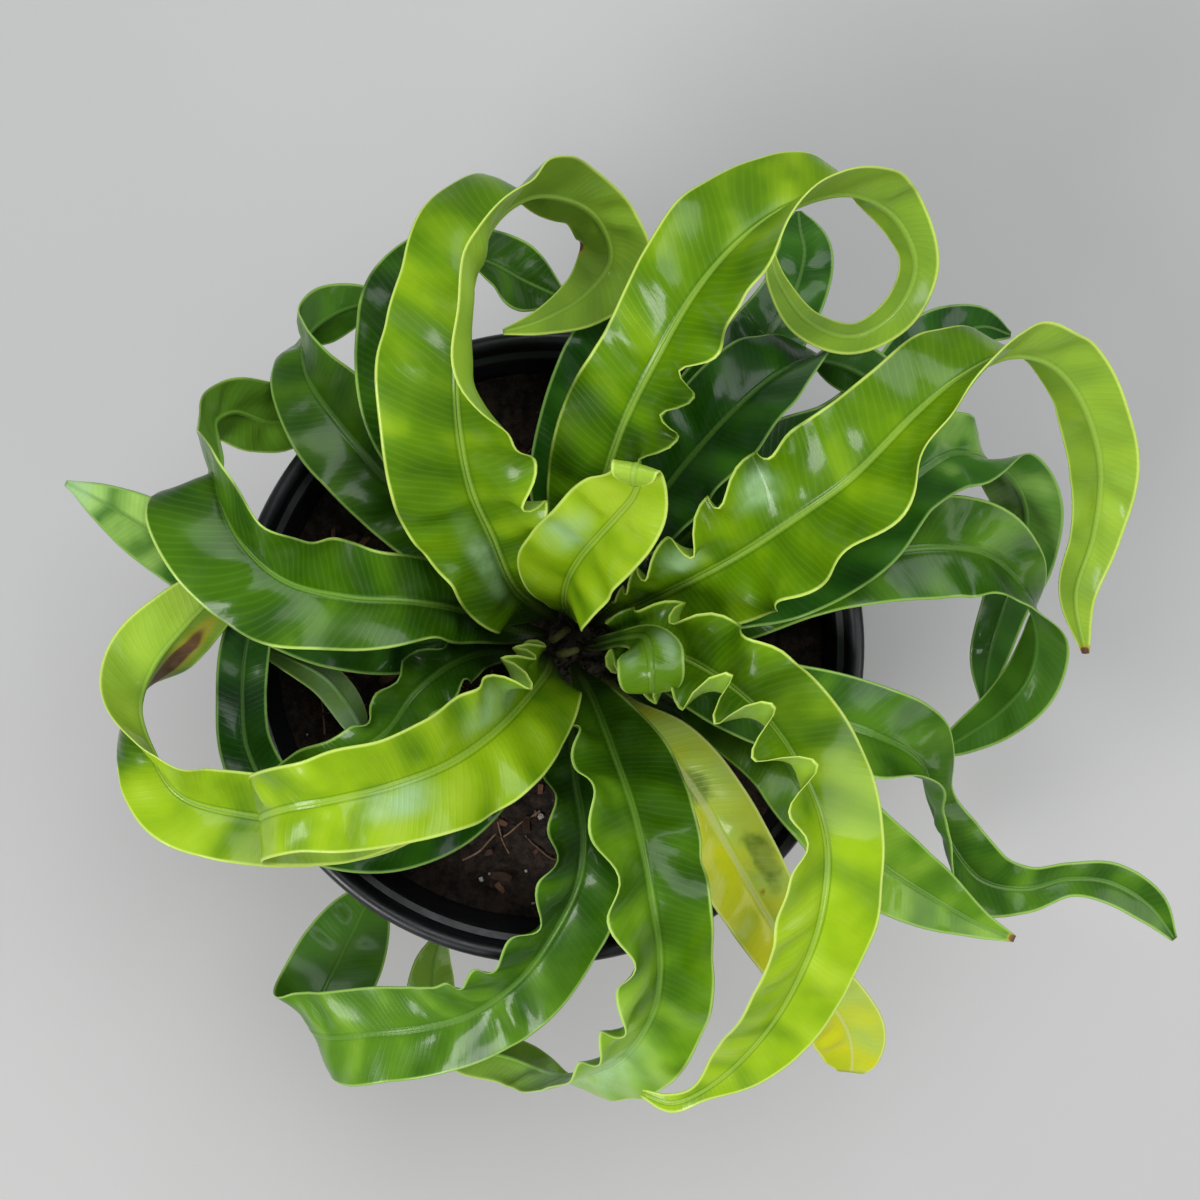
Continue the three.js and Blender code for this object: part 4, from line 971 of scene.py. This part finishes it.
def open_spot(random, low, high):
    """A random place on the soil between two distances from the pot's axis, clear of the crown."""
    while True:
        reach = random.uniform(low, high)
        bearing = random.uniform(0, 2 * math.pi)
        x, y = reach * math.cos(bearing), reach * math.sin(bearing)
        if math.hypot(x - CROWN_X, y - CROWN_Y) > CROWN_RADIUS + 3:
            return x, y


def stuck_chip(random, i):
    """A large bark chip, half sunk in the soil; these are spread by the golden angle."""
    bearing = i * GOLDEN_ANGLE
    reach = 34 + (32 * i) / STUCK_CHIPS
    x, y = reach * math.cos(bearing), reach * math.sin(bearing)
    size = (7 + (i % 3) * 2, 3.5 + (i % 2) * 1.5, 2.2)
    at = (x, y, SOIL_TOP + float(soil_swell(x, y)) + 0.5)
    return chip(random, *size, at, bearing * 1.7, 0.3 - 0.2 * (i % 4))


def loose_chip(random):
    """A small splinter that lies on the soil."""
    length = 1.8 + 5.2 * random.random() ** 2.2
    x, y = open_spot(random, 12, soil_radius(SOIL_TOP) - 4.5)
    at = (x, y, soil_top(x, y) + random.uniform(-0.2, 0.6))
    size = (length, length * random.uniform(0.3, 0.6), length * random.uniform(0.15, 0.35))
    return chip(random, *size, at, random.uniform(0, 2 * math.pi), random.uniform(-0.5, 0.5))


def white_grain(random):
    """A small round grain on the soil."""
    x, y = open_spot(random, 20, soil_radius(SOIL_TOP) - 3)
    size = random.uniform(0.9, 2.2)
    points = [Vector([random.gauss(0, 1) for _ in range(3)]).normalized() for _ in range(16)]
    corners, faces = hull([p * size / 2 for p in points])
    lift = Vector((x, y, soil_top(x, y) + 0.25 * size))
    return [lift + Vector(c) for c in corners], faces


def fibre(random):
    """A thin fibre that wanders over the soil, or nothing where it would run into the pot."""
    outer = soil_radius(SOIL_TOP)
    x, y = open_spot(random, 20, outer - 9)
    bearing = random.uniform(0, 2 * math.pi)
    bend = random.uniform(-0.12, 0.12)
    path = []
    for step in range(9):
        lift = 0.35 + 0.5 * math.sin(step * 0.8 + bend * 30)
        path.append(Vector((x, y, soil_top(x, y) + lift)))
        stride = random.uniform(0.9, 2.0)
        x += stride * math.cos(bearing)
        y += stride * math.sin(bearing)
        bearing += bend + random.uniform(-0.15, 0.15)
    if math.hypot(x, y) > outer - 2:
        return None
    thick = random.uniform(0.12, 0.3)
    return tube(path, [thick] * len(path), 5)


def soil_mesh():
    """The potting mix: the bed with bark chips, white grains and fibres on it."""
    random = Random(31)
    mix = Heap()
    mix.add(*soil_bed(), 0.5, BED)
    for i in range(STUCK_CHIPS):
        mix.add(*stuck_chip(random, i), random.uniform(0.4, 1), BARK)
    for _ in range(LOOSE_CHIPS):
        mix.add(*loose_chip(random), random.random(), BARK)
    for _ in range(WHITE_GRAINS):
        mix.add(*white_grain(random), random.uniform(0.2, 1), GRAIN)
    for _ in range(FIBRES):
        made = fibre(random)
        if made:
            mix.add(*made, random.random(), FIBRE)
    return mix.mesh("potting_mix")


def crown_top(reach):
    """Height of the crown's rounded top at a distance from its axis."""
    return CROWN_TOP - (CROWN_TOP - CROWN_SHOULDER + 1) * (reach / CROWN_RADIUS) ** 2.2 - 0.6


def crown_mesh():
    """The crown: a rounded stock under brown scales, with two small coiled croziers."""
    random = Random(7)
    profile = [(0, CROWN_FOOT), (CROWN_RADIUS - 1, CROWN_FOOT), (CROWN_RADIUS, CROWN_FOOT + 2)]
    profile += [(CROWN_RADIUS, CROWN_FOOT + 6), (CROWN_RADIUS, CROWN_SHOULDER - 2)]
    for share in np.linspace(0, 1, 14)[1:]:
        reach = CROWN_RADIUS * (1 - share)
        profile.append((reach, crown_top(reach)))
    corners, faces = lathe(profile, CROWN_SEGMENTS, [(CROWN_X, CROWN_Y)] * len(profile))
    stock = Heap()
    for corner in corners:
        if corner[2] > CROWN_SHOULDER - 3:
            corner[2] += 0.9 * noise.noise(Vector(corner * 0.35))
    stock.add(corners, faces, 0.3, STOCK)
    for _ in range(CROWN_SCALES):
        stock.add(*crown_scale(random), random.random(), SCALE)
    stock.add(*crozier(-3.2, 0.6, 40), 0.5, CROZIER)
    stock.add(*crozier(-0.6, -3.2, 200), 0.5, CROZIER)
    return stock.mesh("fern_crown")


def crown_scale(random):
    """A narrow pointed scale that stands up from the crown and leans outwards."""
    reach = CROWN_RADIUS * math.sqrt(random.random()) * 0.97
    bearing = random.uniform(0, 2 * math.pi)
    x = CROWN_X + reach * math.cos(bearing)
    y = CROWN_Y + reach * math.sin(bearing)
    root = Vector((x, y, crown_top(reach) - 0.3))
    lean = random.uniform(0.2, 1.1)
    away = bearing + random.uniform(-0.9, 0.9)
    length = random.uniform(2.2, 4.6)
    tip = Vector((math.cos(away) * lean, math.sin(away) * lean, 1)).normalized() * length
    side = Vector((-math.sin(away), math.cos(away), 0)) * random.uniform(0.35, 0.6)
    thick = Vector((math.cos(away), math.sin(away), -lean)).normalized() * 0.1
    bend = tip * 0.55 + Vector((0, 0, 0.25))
    points = [root + side, root + thick, root - side, root - thick]
    points += [root + bend + side * 0.6, root + bend - side * 0.6, root + tip]
    return hull(points)


def crozier(x, y, bearing):
    """A young frond, still a small coil, at a place on the crown."""
    middle = Vector((CROWN_X + x, CROWN_Y + y, CROWN_TOP + 2.2))
    flat = Vector((math.cos(math.radians(bearing)), math.sin(math.radians(bearing)), 0))
    across = Vector((-flat.y, flat.x, 0))
    path = []
    radii = []
    for step in range(CROZIER_STEPS + 1):
        share = step / CROZIER_STEPS
        turn = -1.4 + 9.2 * share
        reach = 3.0 - 2.3 * share
        rise = Vector((0, 0, reach * math.sin(turn)))
        path.append(middle + across * (0.8 * share) + flat * (reach * math.cos(turn)) + rise)
        radii.append(1.25 - 0.65 * share)
    return tube(path, radii, 10)


class Graph:
    """A material's nodes, made one call at a time."""

    def __init__(self, name):
        self.material = bpy.data.materials.new(name)
        self.material.use_nodes = True
        self.tree = self.material.node_tree
        self.shader = self.tree.nodes["Principled BSDF"]

    def node(self, kind, **settings):
        made = self.tree.nodes.new(kind)
        for key, value in settings.items():
            setattr(made, key, value)
        return made

    def feed(self, socket, value):
        if isinstance(value, bpy.types.NodeSocket):
            self.tree.links.new(value, socket)
        elif isinstance(value, tuple) and len(value) == 3 and socket.type == "RGBA":
            socket.default_value = (*value, 1)
        else:
            socket.default_value = value

    def measure(self, name):
        made = self.node("ShaderNodeAttribute", attribute_type="GEOMETRY", attribute_name=name)
        return made.outputs["Fac"]

    def math(self, operation, a, b=0.0, clamp=False):
        made = self.node("ShaderNodeMath", operation=operation, use_clamp=clamp)
        self.feed(made.inputs[0], a)
        self.feed(made.inputs[1], b)
        return made.outputs[0]

    def plus(self, a, b):
        return self.math("ADD", a, b)

    def times(self, a, b):
        return self.math("MULTIPLY", a, b)

    def between(self, value, low, high, out_low=0.0, out_high=1.0):
        """A soft change from one output to another while the value goes from low to high."""
        made = self.node("ShaderNodeMapRange", interpolation_type="SMOOTHSTEP", clamp=True)
        names = ("Value", "From Min", "From Max", "To Min", "To Max")
        for name, number in zip(names, (value, low, high, out_low, out_high)):
            self.feed(made.inputs[name], number)
        return made.outputs[0]

    def mix(self, share, a, b):
        made = self.node("ShaderNodeMix", data_type="RGBA", clamp_factor=True)
        self.feed(made.inputs["Factor"], share)
        self.feed(made.inputs[6], a)
        self.feed(made.inputs[7], b)
        return made.outputs[2]

    def by_kind(self, colour, tints):
        """The colour, or on bodies of the kinds in tints, the tint of their kind."""
        kind = self.measure("kind")
        for number, tint in tints.items():
            colour = self.mix(self.between(kind, number - 0.6, number - 0.4), colour, tint)
        return colour

    def place(self, scale=(1, 1, 1)):
        coordinates = self.node("ShaderNodeTexCoord")
        mapping = self.node("ShaderNodeMapping")
        self.feed(mapping.inputs["Vector"], coordinates.outputs["Object"])
        mapping.inputs["Scale"].default_value = scale
        return mapping.outputs[0]

    def noise(self, size, detail=2.0, rough=0.5, vector=None):
        made = self.node("ShaderNodeTexNoise")
        self.feed(made.inputs["Vector"], vector or self.place())
        made.inputs["Scale"].default_value = 1 / (size * MM)
        made.inputs["Detail"].default_value = detail
        made.inputs["Roughness"].default_value = rough
        return made.outputs["Fac"]

    def ramp(self, value, stops):
        made = self.node("ShaderNodeValToRGB")
        self.feed(made.inputs[0], value)
        elements = made.color_ramp.elements
        while len(elements) < len(stops):
            elements.new(0.5)
        for element, (at, colour) in zip(elements, stops):
            element.position = at
            element.color = (*colour, 1)
        return made.outputs[0]

    def bump(self, height, depth, strength=1.0, after=None):
        made = self.node("ShaderNodeBump")
        made.inputs["Strength"].default_value = strength
        made.inputs["Distance"].default_value = depth * MM
        self.feed(made.inputs["Height"], height)
        if after:
            self.feed(made.inputs["Normal"], after)
        return made.outputs[0]

    def finish(self, colour, roughness, normal=None, specular=0.5):
        self.feed(self.shader.inputs["Base Color"], colour)
        self.feed(self.shader.inputs["Roughness"], roughness)
        self.shader.inputs["Specular IOR Level"].default_value = specular
        if normal:
            self.feed(self.shader.inputs["Normal"], normal)
        return self.material


# Leaf finishes: deep, middle, pale and lime tints of the upper face, the margin line and the underside.
LEAF_TINTS = {
    "bright": (
        (0.040, 0.125, 0.002), (0.118, 0.265, 0.002), (0.32, 0.52, 0.008), (0.48, 0.68, 0.04),
        (0.60, 0.78, 0.14), (0.33, 0.53, 0.06),
    ),
    "fresh": (
        (0.022, 0.085, 0.002), (0.062, 0.175, 0.002), (0.20, 0.41, 0.012), (0.38, 0.60, 0.08),
        (0.48, 0.70, 0.14), (0.18, 0.40, 0.03),
    ),
    "deep": (
        (0.009, 0.045, 0.002), (0.034, 0.12, 0.003), (0.11, 0.27, 0.010), (0.30, 0.54, 0.04),
        (0.32, 0.54, 0.10), (0.07, 0.22, 0.015),
    ),
    "dark": (
        (0.004, 0.030, 0.003), (0.014, 0.078, 0.004), (0.05, 0.18, 0.010), (0.40, 0.66, 0.14),
        (0.26, 0.46, 0.10), (0.05, 0.17, 0.015),
    ),
    "yellowed": (
        (0.34, 0.46, 0.012), (0.58, 0.60, 0.012), (0.44, 0.58, 0.08), (0.52, 0.66, 0.18),
        (0.66, 0.72, 0.20), (0.62, 0.64, 0.26),
    ),
}
PALE_RIB = (0.32, 0.48, 0.12)


def leaf_tone(graph, vein):
    """Broad tone of a leaf: along the frond, with soft clouds, and bands between side veins that are
    painted light and shade of the puckers.
    """
    clouds = graph.between(graph.noise(24, 3), 0.3, 0.7, -0.38, 0.38)
    # Painted light and shade of the puckers: light and dark bands at their spacing, between the side
    # veins.
    painted_pucker_shade = graph.math("SINE", graph.times(vein, 2 * math.pi / PUCKER_LENGTH))
    painted_pucker_shade_depth = graph.between(graph.noise(13, 2), 0.35, 0.65, 0.08, 0.46)
    tone = graph.plus(graph.measure("tone"), graph.plus(clouds, graph.times(painted_pucker_shade, painted_pucker_shade_depth)))
    return graph.math("DIVIDE", graph.plus(tone, 1.0), 3.0, clamp=True)


def still_green(graph, colour):
    """The colour of an old yellow leaf, with the patches that are still green."""
    green = graph.between(graph.noise(5, 3), 0.35, 0.65)
    green = graph.mix(green, (0.14, 0.22, 0.02), (0.28, 0.36, 0.05))
    ragged = graph.plus(graph.measure("green"), graph.between(graph.noise(9, 3), 0.3, 0.7, -0.5, 0.4))
    return graph.mix(graph.between(ragged, 0.3, 1.2, 0, 0.9), colour, green)


def with_lines(graph, colour, tone, fine, finish):
    """The colour with side veins, a midrib between two dark lines, the underside and the margin line."""
    deep, _, pale, _, margin, beneath = LEAF_TINTS[finish]
    colour = graph.mix(graph.times(fine, 0.10), colour, pale)
    rib = graph.measure("rib")
    line = graph.math("ABSOLUTE", graph.math("SUBTRACT", rib, 1.25))
    line = graph.math("SUBTRACT", 1.0, graph.times(line, 2.6), clamp=True)
    colour = graph.mix(graph.times(line, 0.5 if finish == "bright" else 0.25), colour, deep)
    midrib = tuple(0.75 * under + 0.25 * waxy for under, waxy in zip(beneath, PALE_RIB))
    colour = graph.mix(graph.between(rib, 0.55, 1.1, 0.65, 0.0), colour, midrib)
    colour = graph.mix(graph.between(graph.measure("under"), 0, 1, 0, 0.55), colour, beneath)
    rim = graph.between(graph.measure("edge"), 0.12, 0.65, 0.95, 0.0)
    rim = graph.times(rim, graph.between(tone, 0.0, 0.3, 0.3, 1.0))
    return graph.mix(rim, colour, margin)


def with_marks(graph, colour, dry):
    """The colour with painted sheen patches, the dark stipe with painted shade near the crown, and dry
    brown places with a yellow rim.
    """
    # Painted sheen: pale mint patches, made uneven by noise, that stand in for glossy reflections.
    uneven = graph.between(graph.noise(7, 3), 0.3, 0.7, 0.35, 1.0)
    painted_sheen_share = graph.times(graph.between(graph.measure("painted_sheen"), 0.1, 1.4, 0, 0.8), uneven)
    colour = graph.mix(painted_sheen_share, colour, (0.42, 0.66, 0.34))
    # Darker towards the crown: the fade to dark green over 22 to 72 is painted shade of the crown's
    # hollow, and the fade to near black over 16 to 38 is partly the stipe's own dark and partly painted
    # shade.
    stipe = graph.measure("stipe")
    colour = graph.mix(graph.between(stipe, 22, 72, 0.6, 0.0), colour, (0.010, 0.035, 0.003))
    colour = graph.mix(graph.between(stipe, 16, 38, 0.88, 0.0), colour, (0.010, 0.014, 0.004))
    colour = graph.mix(graph.between(dry, 0.12, 0.5, 0, 0.75), colour, (0.42, 0.36, 0.03))
    brown = graph.mix(graph.noise(3, 3), (0.07, 0.03, 0.014), (0.24, 0.13, 0.06))
    return graph.mix(graph.between(dry, 0.55, 0.95), colour, brown)


def leaf_material(finish):
    """A waxy leaf: mottled green with painted light and shade on its puckers, painted sheen patches and
    painted shade towards the crown, pale midrib and margin line, fine side veins, paler underneath.
    """
    graph = Graph("leaf_" + finish)
    vein = graph.measure("vein")
    tone = leaf_tone(graph, vein)
    colour = graph.ramp(tone, list(zip((0, 0.333, 0.667, 1), LEAF_TINTS[finish])))
    if finish == "yellowed":
        colour = still_green(graph, colour)
    fine = graph.math("ABSOLUTE", graph.math("SINE", graph.times(vein, math.pi / SIDE_VEIN_GAP)))
    fine = graph.math("POWER", fine, 8)
    colour = with_lines(graph, colour, tone, fine, finish)
    dry = graph.measure("dry")
    colour = with_marks(graph, colour, dry)

    wax = graph.between(graph.noise(13, 3), 0.3, 0.7, 0.24, 0.42)
    dull = graph.between(graph.measure("under"), 0, 1, 0.0, 0.18)
    rough = graph.plus(graph.plus(wax, dull), graph.between(dry, 0.3, 0.9, 0, 0.3))
    height = graph.plus(graph.times(fine, 0.5), graph.times(graph.noise(0.9, 2), 0.6))
    graph.shader.inputs["Coat Weight"].default_value = 0.3
    graph.shader.inputs["Coat Roughness"].default_value = 0.15
    return graph.finish(colour, rough, graph.bump(height, 0.12, 0.5), specular=0.16)


def pot_material():
    """Black moulded plastic, a little dusty, with fine scratches."""
    graph = Graph("pot_plastic")
    dust = graph.between(graph.noise(16, 5, 0.65), 0.45, 0.8, 0, 0.35)
    colour = graph.mix(dust, (0.009, 0.010, 0.013), (0.035, 0.034, 0.033))
    scratches = graph.noise(5, 4, 0.7, graph.place((1, 1, 0.12)))
    rough = graph.between(graph.noise(8, 4, 0.6), 0.3, 0.75, 0.3, 0.5)
    height = graph.plus(graph.times(scratches, 0.5), graph.times(graph.noise(0.7, 2), 0.4))
    return graph.finish(colour, rough, graph.bump(height, 0.08, 0.5))


def soil_material():
    """Damp potting mix: black-brown crumbs, redder bark and fibres, and a few white grains."""
    graph = Graph("potting_mix")
    shade = graph.measure("shade")
    crumb = graph.between(graph.noise(2.4, 5, 0.7), 0.35, 0.7)
    crumb = graph.mix(crumb, (0.006, 0.004, 0.003), (0.045, 0.026, 0.017))
    grain = graph.noise(1.2, 4, 0.6, graph.place((1, 1, 3)))
    dark_bark = graph.mix(grain, (0.018, 0.010, 0.007), (0.07, 0.036, 0.022))
    red_bark = graph.mix(grain, (0.09, 0.032, 0.015), (0.30, 0.15, 0.085))
    bark = graph.mix(graph.between(shade, 0.55, 1.0, 0, 0.85), dark_bark, red_bark)
    white = graph.mix(graph.noise(0.8, 3), (0.30, 0.28, 0.25), (0.62, 0.60, 0.56))
    fibre = graph.mix(shade, (0.06, 0.03, 0.017), (0.30, 0.19, 0.12))
    colour = graph.by_kind(crumb, {BARK: bark, GRAIN: white, FIBRE: fibre})
    rough = graph.between(graph.noise(3, 3), 0.3, 0.7, 0.55, 0.95)
    height = graph.plus(graph.noise(1.6, 6, 0.75), graph.times(graph.noise(0.5, 3), 0.4))
    return graph.finish(colour, rough, graph.bump(height, 0.9, 0.9), specular=0.3)


def crown_material():
    """Fuzzy brown scales, near black as partly painted shade of the crown's hollow, and olive croziers.
    """
    graph = Graph("crown_scales")
    # The scales' near-black brown is partly their own colour and partly painted shade of the hollow.
    scale = graph.mix(graph.measure("shade"), (0.007, 0.007, 0.004), (0.035, 0.027, 0.012))
    stock = graph.mix(graph.noise(2, 4, 0.7), (0.006, 0.005, 0.003), (0.03, 0.022, 0.010))
    coil = graph.mix(graph.noise(1.1, 3, 0.6), (0.045, 0.06, 0.012), (0.17, 0.17, 0.045))
    colour = graph.by_kind(stock, {SCALE: scale, CROZIER: coil})
    rough = graph.between(graph.noise(2, 3), 0.3, 0.7, 0.6, 0.9)
    return graph.finish(colour, rough, graph.bump(graph.noise(0.6, 4, 0.7), 0.3, 0.8), specular=0.3)


def floor_material():
    """Plain pale paper, a little uneven."""
    graph = Graph("studio_floor")
    colour = graph.mix(graph.noise(160, 3), (0.54, 0.536, 0.532), (0.59, 0.586, 0.582))
    return graph.finish(colour, 0.75, graph.bump(graph.noise(1.5, 2), 0.05, 0.3), specular=0.2)


# Lights: name, place and size in metres, power in watts, and colour.
LIGHTS = [
    ("window", (-0.75, -0.65, 1.05), 0.55, 11.5, (1.0, 1.0, 0.98)),
    ("sky", (0.3, 0.6, 1.3), 1.0, 10.5, (0.95, 0.98, 1.0)),
    ("fill", (0.95, -0.3, 0.8), 0.6, 3.0, (1.0, 0.98, 0.95)),
]
LIT_POINT = (0, 0, 0.12)
SKY_COLOUR = (0.93, 0.96, 1.0, 1)
SKY_STRENGTH = 0.22
FLOOR_REACH = 3.0


def area_light(name, at, size, power, colour):
    """A soft square light that faces the plant."""
    lamp = bpy.data.lights.new(name, "AREA")
    lamp.shape = "SQUARE"
    lamp.size = size
    lamp.energy = power
    lamp.color = colour
    holder = add_object(name, lamp)
    holder.location = at
    holder.rotation_euler = (Vector(LIT_POINT) - Vector(at)).to_track_quat("-Z", "Y").to_euler()


def photo_camera():
    """The camera, where the eye of the photograph stands."""
    lens = bpy.data.cameras.new("photo_camera")
    lens.lens = LENS
    lens.sensor_width = 36
    lens.clip_start = 0.01
    lens.clip_end = 20
    camera = add_object("photo_camera", lens)
    camera.location = (EYE_X * MM, EYE_Y * MM, EYE_HEIGHT * MM)
    bpy.context.scene.camera = camera


def studio():
    """The floor, the sky and the lights."""
    mesh = bpy.data.meshes.new("studio_floor")
    corners = [(x * FLOOR_REACH, y * FLOOR_REACH, 0) for x, y in ((-1, -1), (1, -1), (1, 1), (-1, 1))]
    mesh.from_pydata(corners, [], [(0, 1, 2, 3)])
    mesh.materials.append(floor_material())
    floor = add_object("studio_floor", mesh)

    world = bpy.data.worlds.new("studio")
    world.use_nodes = True
    background = world.node_tree.nodes["Background"]
    background.inputs["Color"].default_value = SKY_COLOUR
    background.inputs["Strength"].default_value = SKY_STRENGTH
    scene = bpy.context.scene
    scene.world = world
    scene.view_settings.view_transform = "Standard"
    scene.view_settings.look = "None"
    for light in LIGHTS:
        area_light(*light)


studio()
photo_camera()
show(pot_mesh(), "pot", pot_material())
show(soil_mesh(), "soil", soil_material())
show(crown_mesh(), "crown", crown_material())
leaves = {finish: leaf_material(finish) for finish in LEAF_TINTS}
for number, (name, ring, bearing, finish, phase, calm_end, route) in enumerate(FRONDS):
    looks = LOOKS[name]
    blade = Blade(number, ring, bearing, phase, calm_end, route, looks)
    show(frond_mesh("leaf_" + name, blade, looks), "frond_" + name, leaves[finish])
